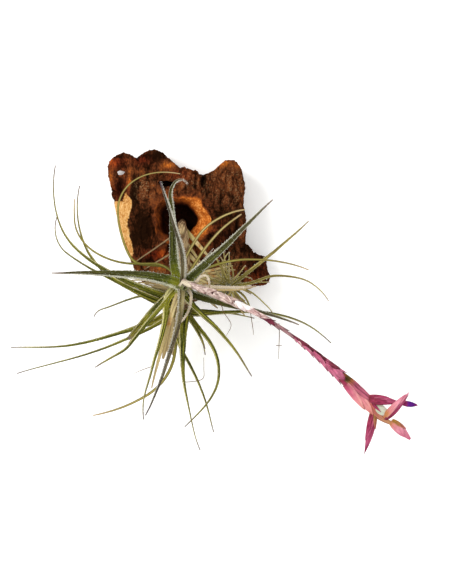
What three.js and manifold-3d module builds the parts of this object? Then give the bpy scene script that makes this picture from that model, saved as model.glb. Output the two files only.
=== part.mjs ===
// Tillandsia purpurea, an air plant, growing out of the knothole of a piece of cork bark.
// Millimetres, +Z up. The bark lies on its flat back, so its fissured face and the plant look up.
// The origin is on that flat back, straight under the knothole. +Y runs along the grain.

import * as THREE from "three";
import { mergeVertices } from "three/addons/utils/BufferGeometryUtils.js";
import Module from "manifold-3d";

const wasm = await Module();
wasm.setup();

// Driving dimensions of the bark.
const BARK_HEIGHT = 46;
const BARK_CROWNING = 0.0034;
const BARK_ASPECTS = 104;
const RIM_RADIUS = [24.5, 21.5];
const FUNNEL_RADIUS = [21.5, 19];
const NECK_RADIUS = [17.5, 16];
const THROAT_RADIUS = [15.5, 14];
const POCKET_RADIUS = [13, 13];
const POCKET_FLOOR = 14;
const POCKET_ROUND = 3;
const LEDGE_DROP = 14;
const FISSURE_PITCH = 12;
const FISSURE_DEPTH = 3;

// Driving dimensions of the plant.
const SEAT_GAP = 0.3;
const STEM_RADII = [3.6, 3.6, 3.6, 3.9, 4.2, 4.4, 4.4];
const FOOT_RADII = [4.2, 4.4, 5, 5.2];
const CROWN_RADII = [5.4, 5.6, 3.4, 2.4];
const RUNNER_RADII = [3, 2.6, 2.8];
const OFFSET_RADII = [3, 3.4, 2];
const SCAPE_RADII = [2.2, 2.1, 2.2, 2.3, 1.8, 1.4, 2.4, 2.8];
const HEAD_RADII = [2.8, 3.4, 4.8, 5.8, 5.6, 4.4, 2.6, 1.7, 1.5];
const PETAL_RADII = [0.8, 1.5, 1];
const PETAL_LENGTH = 13;
const LEAF_WIDTH = 10;
const LEAF_THICKNESS = 1.7;
const TIP_WIDTH = 1;
const TIP_THICKNESS = 0.8;
const SEGMENT_LENGTH = 13;
const SEGMENT_TURN = 16;
const LEAF_SEED = 7;

const UP = new THREE.Vector3(0, 0, 1);
const at = (x, y, z) => new THREE.Vector3(x, y, z);
const radians = THREE.MathUtils.degToRad;
const smooth = THREE.MathUtils.smoothstep;

// Small shared helpers.

// A closed surface through rings of points, with a fan over the first ring and over the last.
function loft(rings) {
  const corners = rings.flat();
  const around = rings[0].length;
  const faces = [];
  for (let r = 0; r + 1 < rings.length; r++) {
    for (let i = 0; i < around; i++) {
      const j = (i + 1) % around;
      const low = r * around;
      const high = low + around;
      faces.push(low + i, low + j, high + j, low + i, high + j, high + i);
    }
  }
  const last = (rings.length - 1) * around;
  for (let i = 1; i + 1 < around; i++) {
    faces.push(0, i + 1, i, last, last + i, last + i + 1);
  }
  const geometry = new THREE.BufferGeometry().setFromPoints(corners);
  geometry.setIndex(faces);
  return geometry;
}

// The solid of a closed geometry, turned right side out.
function solidOf(geometry) {
  const merged = mergeVertices(geometry.deleteAttribute("normal").deleteAttribute("uv"), 1e-4);
  const vertProperties = new Float32Array(merged.attributes.position.array);
  const triVerts = new Uint32Array(merged.index.array);
  const made = new wasm.Manifold(new wasm.Mesh({ numProp: 3, vertProperties, triVerts }));
  if (made.volume() > 0) return made;
  for (let i = 0; i < triVerts.length; i += 3) {
    [triVerts[i + 1], triVerts[i + 2]] = [triVerts[i + 2], triVerts[i + 1]];
  }
  return new wasm.Manifold(new wasm.Mesh({ numProp: 3, vertProperties, triVerts }));
}

// One body out of many, with any scrap that came loose in the joining dropped.
function fuse(solids) {
  const joined = solids.reduce((whole, piece) => whole.add(piece));
  const bodies = joined.decompose();
  return bodies.reduce((most, body) => (body.volume() > most.volume() ? body : most));
}

function meshOf(name, solid, material) {
  const { vertProperties, triVerts } = solid.getMesh();
  const geometry = new THREE.BufferGeometry();
  geometry.setAttribute("position", new THREE.BufferAttribute(vertProperties, 3));
  geometry.setIndex(new THREE.BufferAttribute(triVerts, 1));
  const flat = geometry.toNonIndexed();
  flat.computeVertexNormals();
  const mesh = new THREE.Mesh(flat, material);
  mesh.name = name;
  return mesh;
}

// The value at share s of a list of values that stand at even steps.
function along(values, s) {
  const place = s * (values.length - 1);
  const i = Math.min(Math.floor(place), values.length - 2);
  return values.length === 1 ? values[0] : values[i] + (values[i + 1] - values[i]) * (place - i);
}

// Even random numbers from 0 to 1, the same on every run.
function seeded(seed) {
  let state = seed;
  return () => {
    state = (state * 1664525 + 1013904223) % 4294967296;
    return state / 4294967296;
  };
}

const cork = new THREE.MeshStandardMaterial({ color: 0x6b3a22, roughness: 0.95 });
const straw = new THREE.MeshStandardMaterial({ color: 0xb79a63, roughness: 0.85 });
const silverGreen = new THREE.MeshStandardMaterial({ color: 0x7f8f57, roughness: 0.75 });
const silverRose = new THREE.MeshStandardMaterial({ color: 0xb98a90, roughness: 0.8 });
const rose = new THREE.MeshStandardMaterial({ color: 0xc4567c, roughness: 0.6 });
const violet = new THREE.MeshStandardMaterial({ color: 0x6b2f86, roughness: 0.5 });

// The bark: a thick plate of cork bark with a knothole, a broken ledge at its top left corner
// and one long side where the bark has come away.

const BARK_OUTLINE = [
  [-41, -33], [-45, -22], [-50, -8], [-53.5, 6], [-55.5, 18], [-57, 29], [-59, 39], [-60, 45],
  [-58.5, 49], [-56, 52.5], [-51, 56], [-47, 57], [-43, 56], [-39, 53], [-36, 55], [-30.5, 57],
  [-25.5, 59], [-20.5, 59.5], [-17, 58.5], [-13, 54.5], [-8, 51], [-5, 48], [-2, 45.5], [2, 45.5],
  [7.5, 43.5], [14, 42], [17, 39.5], [20.5, 40], [28, 43.5], [33, 48], [37, 51], [41, 51.5],
  [44.5, 50.5], [47.5, 48], [50, 43], [52, 34.5], [53, 26.5], [52, 18], [53, 7.5], [54, 0],
  [54.5, -8], [53, -16.5], [57, -20.5], [61, -25.5], [64, -28.5], [70, -29], [71.5, -36],
  [74, -47], [70.5, -51], [61, -52], [48.5, -52.5], [32, -53.5], [15.5, -53.5], [-1, -51.5],
  [-13, -49.5], [-25.5, -51], [-34, -47.5], [-38.5, -39.5],
];

// How much of the broken ledge a point is on, from 0 on the face to 1.
function ledge(x, y) {
  const column = smooth(-x, 40, 45) * smooth(y, 13, 21);
  const shelf = smooth(y, 33, 37.5) * smooth(-x, 5, 13);
  return Math.max(column, shelf);
}

// Wavy furrows that run along the grain, from 0 on a ridge to 1 at the bottom of a furrow.
function furrow(x, y) {
  const wander = 2.6 * Math.sin(y / 13 + x / 31) + 1.3 * Math.sin(y / 5.5 - x / 17);
  const phase = (x + wander) / FISSURE_PITCH;
  const off = Math.abs(phase - Math.round(phase));
  return Math.exp(-((off / 0.16) ** 2)) * (0.65 + 0.35 * Math.sin(y / 9 + 2 * Math.round(phase)));
}

function barkFace(x, y) {
  const plate = BARK_HEIGHT - BARK_CROWNING * (x - 2) ** 2 - 0.03 * (y + 20);
  const foot = 9 * smooth(x, 50, 62);
  return plate - foot - LEDGE_DROP * ledge(x, y) - FISSURE_DEPTH * furrow(x, y);
}

function barkRings() {
  const outline = BARK_OUTLINE.map(([x, y]) => at(x, y, 0));
  const edge = new THREE.CatmullRomCurve3(outline, true, "centripetal");
  const spots = edge.getSpacedPoints(BARK_ASPECTS).slice(0, BARK_ASPECTS);
  const ring = (place) => spots.map((spot) => place(spot, Math.atan2(spot.y, spot.x)));
  const oval = ([a, b], angle, z) => at(a * Math.cos(angle), b * Math.sin(angle), z);

  // The bare side slopes where the bark has come away, and the ledge's corner overhangs.
  const bareSide = ({ x, y }) => 10 * smooth(-x, 38, 46) * smooth(24 - y, 0, 8);
  const overhang = ({ x, y }) => smooth(-x, 34, 50) * smooth(y, 26, 40);
  const inward = (spot, by) => spot.clone().multiplyScalar(1 - by / spot.length());

  const rings = [
    ring((spot, angle) => oval(POCKET_RADIUS.map((r) => r - POCKET_ROUND), angle, POCKET_FLOOR)),
    ring((spot, angle) => oval(POCKET_RADIUS, angle, POCKET_FLOOR + POCKET_ROUND)),
    ring((spot, angle) => oval(THROAT_RADIUS, angle, BARK_HEIGHT - 14)),
    ring((spot, angle) => oval(NECK_RADIUS, angle, BARK_HEIGHT - 7)),
    ring((spot, angle) => oval(FUNNEL_RADIUS, angle, BARK_HEIGHT - 2.5)),
  ];
  for (const share of [0, 0.12, 0.25, 0.38, 0.52, 0.66, 0.8, 0.92, 1]) {
    rings.push(ring((spot, angle) => {
      const rim = oval(RIM_RADIUS, angle, 0);
      const shoulder = inward(spot, 1.5 + bareSide(spot));
      const point = rim.lerp(shoulder, share);
      point.z = barkFace(point.x, point.y) + (share === 0 ? 0.5 : 0) - (share === 1 ? 2.5 : 0);
      return point;
    }));
  }
  rings.push(ring((spot) => {
    const point = spot.clone();
    point.z = barkFace(spot.x, spot.y) * (0.72 - 0.35 * smooth(bareSide(spot), 0, 10));
    return point;
  }));
  rings.push(ring((spot) => inward(spot, 2 + 2 * overhang(spot)).setZ(8 + 7 * overhang(spot))));
  rings.push(ring((spot) => inward(spot, 5 + 19 * overhang(spot)).setZ(3 + 8 * overhang(spot))));
  rings.push(ring((spot) => inward(spot, 7 + 20 * overhang(spot)).setZ(0)));
  rings.push(ring((spot, angle) => oval(POCKET_RADIUS, angle, 0)));
  return rings;
}

// An upright pin with an oval section, for cutting a natural hole or pit.
function ovalPin(x, y, [a, b], low, high) {
  const ring = (z) => Array.from({ length: 10 }, (_, i) => {
    const angle = (i / 10) * 2 * Math.PI;
    return at(x + a * Math.cos(angle), y + b * Math.sin(angle), z);
  });
  return solidOf(loft([ring(low), ring(high)]));
}

function bark() {
  const knotEye = ovalPin(-46.5, 39, [2.7, 1.7], -1, BARK_HEIGHT);
  const crevice = ovalPin(-10.5, 29.5, [4.5, 2], BARK_HEIGHT - 12, BARK_HEIGHT + 4);
  return solidOf(loft(barkRings())).subtract(knotEye).subtract(crevice);
}

// Leaves: each is a channelled blade that tapers to a thread.

// The line of a blade that starts at a point. Its heading, seen from above with 0 along +X, and
// its rise above the horizontal are in degrees, at even steps from root to tip.
function bladeLine({ from, heading, rise, length }) {
  const turning = (values) =>
    values.slice(1).reduce((sum, value, i) => sum + Math.abs(value - values[i]), 0);
  const steps = Math.ceil(
    Math.max(5, length / SEGMENT_LENGTH, (turning(heading) + turning(rise)) / SEGMENT_TURN),
  );
  const line = [{ point: from.clone(), share: 0 }];
  for (let i = 1; i <= steps; i++) {
    const middle = (i - 0.5) / steps;
    const step = direction(along(heading, middle), along(rise, middle));
    const point = line[i - 1].point.clone().addScaledVector(step, length / steps);
    line.push({ point, share: i / steps });
  }
  return line;
}

function direction(heading, rise) {
  const turn = radians(heading);
  const lift = radians(rise);
  return at(Math.cos(turn) * Math.cos(lift), Math.sin(turn) * Math.cos(lift), Math.sin(lift));
}

// A four-sided section: two margins that stand up, and a keel between them.
function blade(leaf) {
  const { heading, rise, width = LEAF_WIDTH, roll = 0, taper = 1.2 } = leaf;
  const rings = bladeLine(leaf).map(({ point, share }) => {
    const forward = direction(along(heading, share), along(rise, share));
    const turn = radians(along(heading, share));
    const side = at(-Math.sin(turn), Math.cos(turn), 0).applyAxisAngle(forward, radians(roll));
    const normal = forward.clone().cross(side);
    const left = 1 - share;
    const half = (TIP_WIDTH + (width - TIP_WIDTH) * left ** taper) / 2;
    const thick = (TIP_THICKNESS + (LEAF_THICKNESS - TIP_THICKNESS) * left) / 2;
    const lip = thick * 0.2 + half * 0.42 * left;
    const spot = (across, high) =>
      point.clone().addScaledVector(side, across).addScaledVector(normal, high);
    return [spot(-half, lip), spot(0, -thick), spot(half, lip), spot(0, thick)];
  });
  return solidOf(loft(rings));
}

// A round stem through points, with a radius at each.
function stalk(points, radii, sides = 8) {
  const curve = routeLine(points);
  const steps = (points.length - 1) * 2;
  const frames = curve.computeFrenetFrames(steps, false);
  const rings = [];
  for (let i = 0; i <= steps; i++) {
    const centre = curve.getPointAt(i / steps);
    const radius = along(radii, i / steps);
    rings.push(Array.from({ length: sides }, (_, k) => {
      const angle = (k / sides) * 2 * Math.PI;
      return centre.clone()
        .addScaledVector(frames.normals[i], radius * Math.cos(angle))
        .addScaledVector(frames.binormals[i], radius * Math.sin(angle));
    }));
  }
  return solidOf(loft(rings));
}

// The old stem leaves the knothole, leans over the face and ends where the green crown begins.
// The crown dips below it, turns up and carries the leaves. A runner ends in a small offset.

const STEM_ROUTE = [
  at(1, 0, POCKET_FLOOR + SEAT_GAP), at(1, 0, 26), at(1, -3, 40), at(1.5, -10, 51),
  at(2.5, -26, 59), at(3, -40, 61.5), at(3, -52, 60),
];
const CROWN = [at(2.5, -74, 52), at(2.4, -70, 64), at(1.6, -54, 84), at(3, -51.5, 92)];
const RUNNER = [at(3, -66, 55), at(16, -61, 52), at(30, -55, 52)];
const OFFSET_CROWN = [at(29, -55, 51.5), at(36, -54, 56), at(41, -53, 66)];

const routeLine = (points) => new THREE.CatmullRomCurve3(points, false, "centripetal");
const beyond = (line, by) => line.getPointAt(1).addScaledVector(line.getTangentAt(1), by);
const stemLine = routeLine(STEM_ROUTE);
const CROWN_FOOT = [
  beyond(stemLine, SEAT_GAP), beyond(stemLine, 4), at(3, -66, 54.5), at(2.5, -74, 52),
];
const crownLine = routeLine(CROWN);
const offsetLine = routeLine(OFFSET_CROWN);

// A row of numbers for each leaf. The heading is seen from above in degrees, with 0 along +X, and
// the rise is above the horizontal. Both change at even steps from the root to the tip.

// Dry leaves on the old stem: four at the knothole, three that hang under the crown.
const DRY_LEAVES = [
  { from: at(1, -6.5, 46), heading: [216, 214], rise: [14, 2, 0], length: 48, width: 4 },
  { from: at(2, -20, 55), heading: [214, 208], rise: [-3, -5], length: 37, width: 4 },
  { from: at(2, -6.5, 46), heading: [-50, -50], rise: [26, 8, 0], length: 26, width: 5 },
  { from: at(2, -24, 56), heading: [-40, -52], rise: [10, 0], length: 20, width: 5 },
  { from: at(4, -43, 59), heading: [258, 252, 248], rise: [-46, -28, -8], length: 82, width: 8 },
  { from: at(4, -43, 58), heading: [270, 262], rise: [-48, -34, -20], length: 62, width: 6 },
  {
    from: at(2, -43, 59), heading: [264, 263, 262, 266, 238, 210, 200, 190],
    rise: [-46, -30, -12, -6, -4, 0], length: 168, width: 6,
  },
];

// Leaves of the crown. The share says how far up the crown each one grows.
const CROWN_LEAVES = [
  // The youngest, round the tip.
  { share: 0.93, heading: [164, 170, 176, 181, 184], rise: [30, 20, 10, 4], length: 105, width: 11 },
  {
    share: 0.89, heading: [112, 97, 93, 91, 92, 93, 94, 48, -65],
    rise: [36, 22, 14, 8, 2], length: 97, width: 10,
  },
  {
    share: 0.86, heading: [80, 87, 97, 107, 109, 108, 109],
    rise: [48, 40, 30, 22, 16], length: 95, width: 5, roll: 30, taper: 0.8,
  },
  { share: 0.9, heading: [43, 42, 43, 45, 43], rise: [36, 26, 16, 8], length: 105, width: 9 },
  { share: 0.84, heading: [50], rise: [24, 12], length: 41, width: 4 },
  {
    share: 0.9, heading: [-90, -92, -103, -105, -105, -110, -118],
    rise: [44, 18, -6, -24], length: 114, width: 6,
  },
  {
    share: 0.9, heading: [-15, -50, -95, -105, -120, -138, -142],
    rise: [24, 6, -6], length: 43, width: 3,
  },
  // Yellowing leaves that curl over the bark.
  {
    share: 0.86, heading: [62, 58, 57, 50, 40, 36],
    rise: [20, 6, -4], length: 76, width: 3, taper: 0.5,
  },
  {
    share: 0.85, heading: [95, 80, 66, 58, 47, 31, 19, 5],
    rise: [16, 2, 0], length: 87, width: 3, taper: 0.5,
  },
  {
    share: 0.82, heading: [108, 128, 176, 176, 118, 109, 102, 90, 64, 38, 16, 0, -10],
    rise: [10, -6, -8, -4, 0], length: 157, width: 3, taper: 0.4,
  },
  {
    share: 0.84, heading: [108, 124, 179, 176, 162, 146, 122, 93, 91],
    rise: [10, -4, -4], length: 127, width: 3.4, taper: 0.6,
  },
  {
    share: 0.78, heading: [62, 26, 15, 9, 1, -2, -12, -24],
    rise: [14, 2, -12], length: 110, width: 3, taper: 0.6,
  },
  {
    share: 0.82, heading: [168, 175, 201, 201, 201, 201, 203, 262],
    rise: [12, 0, -14], length: 77, width: 2.6,
  },
  // The middle of the crown.
  {
    share: 0.8, heading: [198, 229, 229, 230, 232, 233, 211, 210, 212],
    rise: [26, 8, -14, -28], length: 98, width: 5,
  },
  {
    share: 0.8, heading: [180, 238, 272, 260, 256, 253, 258, 254, 256, 270, 278],
    rise: [24, 6, -12, -26], length: 113, width: 7,
  },
  {
    share: 0.72, heading: [-17, -17, -15, -10, -16, -18, -24],
    rise: [16, 4, -8, -16], length: 99, width: 6,
  },
  {
    share: 0.7, heading: [-52, -46, -43, -47, -53, -59, -60],
    rise: [28, 8, -12, -20], length: 91, width: 5,
  },
  {
    share: 0.48, heading: [153, 153, 159, 154, 143, 112, 92, 83],
    rise: [26, 14, 0, -16], length: 168, width: 5,
  },
  {
    share: 0.3, heading: [168, 160, 152, 137, 113, 95, 78],
    rise: [22, 8, -8, -22], length: 148, width: 5, taper: 0.8,
  },
  {
    share: 0.36, heading: [213, 206, 201, 198, 195, 190, 184, 180, 182],
    rise: [24, 8, -8, -20], length: 148, width: 4.6,
  },
  {
    share: 0.4, heading: [-90, -92, -92, -87, -80, -79, -77, -68],
    rise: [24, 6, -12, -24], length: 124, width: 8,
  },
  // The oldest, at the foot.
  {
    share: 0.25, heading: [213, 211, 204, 201, 198, 195, 196, 198],
    rise: [14, 0, -14, -24], length: 151, width: 4,
  },
  {
    share: 0.1, heading: [166, 160, 152, 152, 154, 149, 142, 106, 72],
    rise: [12, 0, -12, -22], length: 142, width: 5,
  },
  {
    share: 0.08, heading: [-120, -84, -65, -63, -69, -71, -75, -77, -75],
    rise: [10, -6, -20, -30], length: 112, width: 4,
  },
  {
    share: 0.15, heading: [-46, -50, -50, -62, -80, -97, -117, -130, -132, -134],
    rise: [14, 2, -14, -24], length: 117, width: 8,
  },
  {
    share: 0.05, heading: [-20, 4, 4, 2, -1, -8, -17, -27, -37, -43],
    rise: [14, 0, -14, -24], length: 131, width: 5,
  },
  // Below the ones that show from above.
  { share: 0.1, heading: [205, 200, 192], rise: [-14, -22, -20], length: 92, width: 5 },
  { share: 0.05, heading: [160, 152, 140], rise: [-2, 4, 2], length: 78, width: 5 },
  { share: 0.1, heading: [-50, -62, -84], rise: [-14, -24, -20], length: 84, width: 5 },
  { share: 0.05, heading: [-96, -88, -80], rise: [-20, -26, -20], length: 80, width: 5 },
  { share: 0.1, heading: [2, -6, -16], rise: [-8, -14, -16], length: 86, width: 4.6 },
];

const OFFSET_LEAVES = [
  {
    share: 0.8, heading: [9, 8, 16, 23, 1, -7, -14, -34, -45, -60],
    rise: [20, 4, -16], length: 90, width: 3.6,
  },
  { share: 0.9, heading: [38, 38, 38, 40, 44], rise: [26, 12, -4], length: 84, width: 4 },
  { share: 0.6, heading: [0, -6, -27, -43, -45, -61], rise: [16, -4, -24], length: 46, width: 3.2 },
  { share: 0.95, heading: [101, 116], rise: [30, 10], length: 27, width: 2.4 },
  { share: 0.9, heading: [-51, -38], rise: [0, -8], length: 27, width: 3 },
];
const OFFSET_TUFT = 6;

const leavesOn = (line, leaves) =>
  leaves.map(({ share, ...leaf }) => blade({ ...leaf, from: line.getPointAt(share) }));

// Short leaves all round the offset, drawn with a fixed seed.
function tuftLeaves() {
  const random = seeded(LEAF_SEED);
  return Array.from({ length: OFFSET_TUFT }, (_, i) => {
    const heading = (i / OFFSET_TUFT) * 360 + 40 * random();
    const bend = 60 * (random() - 0.5);
    return {
      share: 0.4 + 0.5 * random(), heading: [heading, heading + bend],
      rise: [26 * random(), 0, -12 * random()], length: 20 + 14 * random(), width: 3,
    };
  });
}

function oldStem() {
  return fuse([stalk(STEM_ROUTE, STEM_RADII), ...DRY_LEAVES.map(blade)]);
}

function leafRosette() {
  return fuse([
    stalk(CROWN_FOOT, FOOT_RADII),
    stalk(CROWN, CROWN_RADII),
    ...leavesOn(crownLine, CROWN_LEAVES),
    stalk(RUNNER, RUNNER_RADII),
    stalk(OFFSET_CROWN, OFFSET_RADII),
    ...leavesOn(offsetLine, [...OFFSET_LEAVES, ...tuftLeaves()]),
  ]);
}

// The flower stalk stands on the crown's tip, leans out over the leaves and is sheathed in bracts.

const SCAPE_ROUTE = [
  beyond(crownLine, SEAT_GAP), beyond(crownLine, 4.5), at(16.5, -54.5, 103), at(41.5, -65, 108),
  at(67, -79, 109), at(94.5, -97, 107), at(119.5, -117, 104), at(126, -122.5, 102.4),
];
const scapeLine = routeLine(SCAPE_ROUTE);

// Where each bract starts, how far round the stalk it sits, and its size.
const BRACTS = [
  { share: 0.04, spin: 20, length: 34, width: 6 },
  { share: 0.12, spin: 200, length: 34, width: 6 },
  { share: 0.2, spin: 60, length: 36, width: 6.4 },
  { share: 0.3, spin: 250, length: 32, width: 5.6 },
  { share: 0.4, spin: 110, length: 30, width: 4.6 },
  { share: 0.5, spin: 330, length: 28, width: 4 },
  { share: 0.6, spin: 150, length: 30, width: 5 },
  { share: 0.7, spin: 10, length: 32, width: 6.4 },
  { share: 0.78, spin: 190, length: 24, width: 7 },
];

// A cupped scale that hugs the stalk, with its tip a little clear of it.
function bract({ share, spin, length, width }) {
  const reach = scapeLine.getLength();
  const steps = 4;
  const rings = [];
  for (let i = 0; i <= steps; i++) {
    const t = i / steps;
    const spot = Math.min(share + (t * length) / reach, 0.96);
    const centre = scapeLine.getPointAt(spot);
    const forward = scapeLine.getTangentAt(spot);
    const outward = UP.clone().projectOnPlane(forward).normalize();
    outward.applyAxisAngle(forward, radians(spin));
    const side = forward.clone().cross(outward);
    const inner = along(SCAPE_RADII, spot) * (0.72 - 0.1 * t) + 0.6 * t;
    const half = (width / 2) * (1 - t ** 3) + 0.4;
    const place = (across, out) =>
      centre.clone().addScaledVector(side, across).addScaledVector(outward, out);
    rings.push([
      place(-half, inner - 0.45 * half), place(0, inner - 0.2), place(half, inner - 0.45 * half),
      place(0, inner + 0.9 - 0.2 * t),
    ]);
  }
  return solidOf(loft(rings));
}

function scape() {
  return fuse([stalk(SCAPE_ROUTE, SCAPE_RADII, 6), ...BRACTS.map(bract)]);
}

// The flower head: a swollen node of bracts with four flattened spikes and a pale scale.

const HEAD_ROUTE = [
  beyond(scapeLine, SEAT_GAP), beyond(scapeLine, 3), at(133, -129, 101),
  at(139.5, -136, 100), at(146, -142.5, 99), at(151, -147.5, 98.5),
  at(155.5, -153.5, 98), at(160.5, -157.5, 97.5), at(167, -160.5, 97),
];
const FLOWERING_SPIKE = {
  from: at(147, -141.5, 101), heading: [-2, -7], rise: [6, 4], length: 27, width: 6.4,
};
const SPIKES = [
  FLOWERING_SPIKE,
  { from: at(151, -148, 98.5), heading: [-98, -100], rise: [-2, -8], length: 36, width: 7 },
  { from: at(158.5, -155.5, 98.5), heading: [40, 47], rise: [32, 24], length: 32, width: 6.3 },
  { from: at(164, -159, 97.3), heading: [-36, -40], rise: [-4, -8], length: 24, width: 6.3 },
  { from: at(150, -147.5, 99), heading: [-22, -24], rise: [0, 4], length: 16, width: 7 },
];

// A flattened spike of folded bracts, widest a third of the way along.
function spike(row) {
  const rings = bladeLine(row).map(({ point, share }) => {
    const turn = radians(along(row.heading, share));
    const side = at(-Math.sin(turn), Math.cos(turn), 0);
    const swell = Math.sin(Math.PI * (0.12 + 0.86 * share) ** 0.75);
    const half = Math.max((row.width / 2) * swell, 0.6);
    const thick = half * 0.45 + 0.3;
    return Array.from({ length: 8 }, (_, k) => {
      const angle = (k / 8) * 2 * Math.PI;
      return point.clone()
        .addScaledVector(side, half * Math.cos(angle))
        .addScaledVector(UP, thick * Math.sin(angle));
    });
  });
  return solidOf(loft(rings));
}

function flowerHead() {
  return fuse([stalk(HEAD_ROUTE, HEAD_RADII), ...SPIKES.map(spike)]);
}

// The violet petals roll into a tube that looks out of the flowering spike.
function petalTube() {
  const line = bladeLine(FLOWERING_SPIKE);
  const tip = line.at(-1).point;
  const onward = tip.clone().sub(line.at(-2).point).normalize();
  const place = (by) => tip.clone().addScaledVector(onward, by);
  return stalk([place(SEAT_GAP), place(PETAL_LENGTH / 2), place(PETAL_LENGTH)], PETAL_RADII);
}

const plant = new THREE.Group();
plant.add(meshOf("bark_mount", bark(), cork));
plant.add(meshOf("old_stem", oldStem(), straw));
plant.add(meshOf("leaf_rosette", leafRosette(), silverGreen));
plant.add(meshOf("scape", scape(), silverRose));
plant.add(meshOf("flower_head", flowerHead(), rose));
plant.add(meshOf("petal_tube", petalTube(), violet));

export default plant;
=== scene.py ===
# %% [markdown]
# # An air plant that grows out of a knothole
# Tillandsia purpurea is an air plant. It has no soil: silver scales on its leaves drink the dew, and
# its old stem only holds on to the bark. The scene has the bark, the old stem, the leaves in all
# their ages, the flower stalk and the flower head. Each is made the way it grows, and each cell
# says how. All places are in millimetres in the frame's own axes, and MM turns them into metres.

# %% Load the frame
import math

import bpy
import numpy as np
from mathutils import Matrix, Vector


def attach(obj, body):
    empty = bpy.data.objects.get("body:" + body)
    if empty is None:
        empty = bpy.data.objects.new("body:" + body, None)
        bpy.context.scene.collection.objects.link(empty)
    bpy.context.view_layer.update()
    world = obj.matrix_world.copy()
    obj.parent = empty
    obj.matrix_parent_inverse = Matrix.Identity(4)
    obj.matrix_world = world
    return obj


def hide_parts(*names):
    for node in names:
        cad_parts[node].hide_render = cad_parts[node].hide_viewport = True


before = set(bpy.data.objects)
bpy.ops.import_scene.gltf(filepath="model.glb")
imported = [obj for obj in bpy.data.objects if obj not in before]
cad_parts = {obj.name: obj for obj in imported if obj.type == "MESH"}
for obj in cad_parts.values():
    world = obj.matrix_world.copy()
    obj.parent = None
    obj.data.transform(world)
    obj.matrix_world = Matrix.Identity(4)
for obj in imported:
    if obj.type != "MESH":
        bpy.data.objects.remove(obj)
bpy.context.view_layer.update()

MM = 0.001
print("nodes of the frame:", sorted(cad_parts))

# %% [markdown]
# ## A camera that looks straight down
# The bark lies on its back, so the photograph's view is the view from above. The focal length is
# long, because a plant that is photographed from more than a metre away shows little perspective.

# %% Camera
def linked(name, data):
    """A new object in the scene, at the origin."""
    piece = bpy.data.objects.new(name, data)
    bpy.context.scene.collection.objects.link(piece)
    return piece


CAMERA_HEIGHT = 1370
CAMERA_OVER = (37, -57.5)
lens = bpy.data.cameras.new("camera")
lens.lens = 100
lens.sensor_width = 36
lens.clip_end = 20
camera = linked("camera", lens)
camera.location = (CAMERA_OVER[0] * MM, CAMERA_OVER[1] * MM, CAMERA_HEIGHT * MM)
bpy.context.scene.camera = camera
print("camera at", tuple(round(v, 4) for v in camera.location))

# %% [markdown]
# ## Helpers for nodes and colours
# A material and a Geometry Nodes tree are both made of nodes, so one small function adds a node to
# either. It takes the node's settings and what goes into its sockets: a number, a colour, or the
# node that the socket is fed by. Colours are written as sRGB hex, as a colour picker shows them.

# %% One function for colours, one for nodes
def colour(code):
    """Turns an sRGB hex colour into the linear numbers that a socket takes."""
    parts = [int(code[i:i + 2], 16) / 255 for i in (1, 3, 5)]
    linear = [c / 12.92 if c <= 0.04045 else ((c + 0.055) / 1.055) ** 2.4 for c in parts]
    return (*linear, 1)


# The kinds of node that are used over and over, each with the setting that it always has here.
NOISE, RAMP, NUMBER = "ShaderNodeTexNoise", "ShaderNodeValToRGB", "GeometryNodeInputNamedAttribute"
RANGE = "ShaderNodeMapRange"
SMOOTH_RANGE = (RANGE, {"interpolation_type": "SMOOTHSTEP"})
MIX = ("ShaderNodeMix", {"data_type": "RGBA"})
TIMES, PLUS, MINUS, OVER, TIMES_PLUS, LARGER, UNSIGNED, SINE, COSINE = (("ShaderNodeMath",
                                                                         {"operation": operation})
                                                                        for operation
                                                                        in ("MULTIPLY", "ADD",
                                                                            "SUBTRACT", "DIVIDE",
                                                                            "MULTIPLY_ADD",
                                                                            "MAXIMUM", "ABSOLUTE",
                                                                            "SINE", "COSINE"))
VECTOR_PLUS, VECTOR_MINUS, VECTOR_OVER, SCALED, CROSS = (("ShaderNodeVectorMath",
                                                          {"operation": operation})
                                                         for operation
                                                         in ("ADD", "SUBTRACT", "DIVIDE", "SCALE",
                                                             "CROSS_PRODUCT"))


def output(node):
    """The first output that the node's settings leave in use."""
    return next(s for s in node.outputs if s.enabled and not s.is_unavailable)


def add(tree, kind, feeds=(), stops=(), captures=(), **settings):
    """Adds a node. Its feeds are in the order of its sockets, or in a dict by socket name."""
    kind, usual = (kind, {}) if isinstance(kind, str) else kind
    node = tree.nodes.new(kind)
    for name, value in (usual | settings).items():
        setattr(node, name, value)
    for item_kind, name in captures:
        node.capture_items.new(item_kind, name)
    for place, (position, code) in enumerate(stops):
        ramp = node.color_ramp.elements
        stop = ramp[place] if place < 2 else ramp.new(position)
        stop.position = position
        stop.color = colour(code)
    sockets = [s for s in node.inputs if s.enabled and not s.is_unavailable]
    for key, value in (feeds.items() if isinstance(feeds, dict) else enumerate(feeds)):
        socket = sockets[key] if isinstance(key, int) else next(s for s in sockets if s.name == key)
        if isinstance(value, bpy.types.Node):
            value = output(value)
        if isinstance(value, bpy.types.NodeSocket):
            tree.links.new(value, socket)
        else:
            socket.default_value = value
    return node


def material(name, **sockets):
    """A new material with these values on its shader, and its tree and shader."""
    made = bpy.data.materials.new(name)
    made.use_nodes = True
    shader = made.node_tree.nodes["Principled BSDF"]
    for socket, value in sockets.items():
        shader.inputs[socket.replace("_", " ")].default_value = value
    return made, made.node_tree, shader


print("a leaf green in linear numbers:", [round(c, 3) for c in colour("#4C6A2A")])

# %% [markdown]
# ## Helpers for lines
# Stems, leaves and bracts all follow a line. A stem's line goes smoothly through a few points. A
# leaf's line is walked: it starts at its root, and a list of headings and rises, in degrees, says
# which way it goes at even steps. That is how a gardener would describe a leaf: out to the left,
# rising at first, then drooping and curling back.

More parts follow.
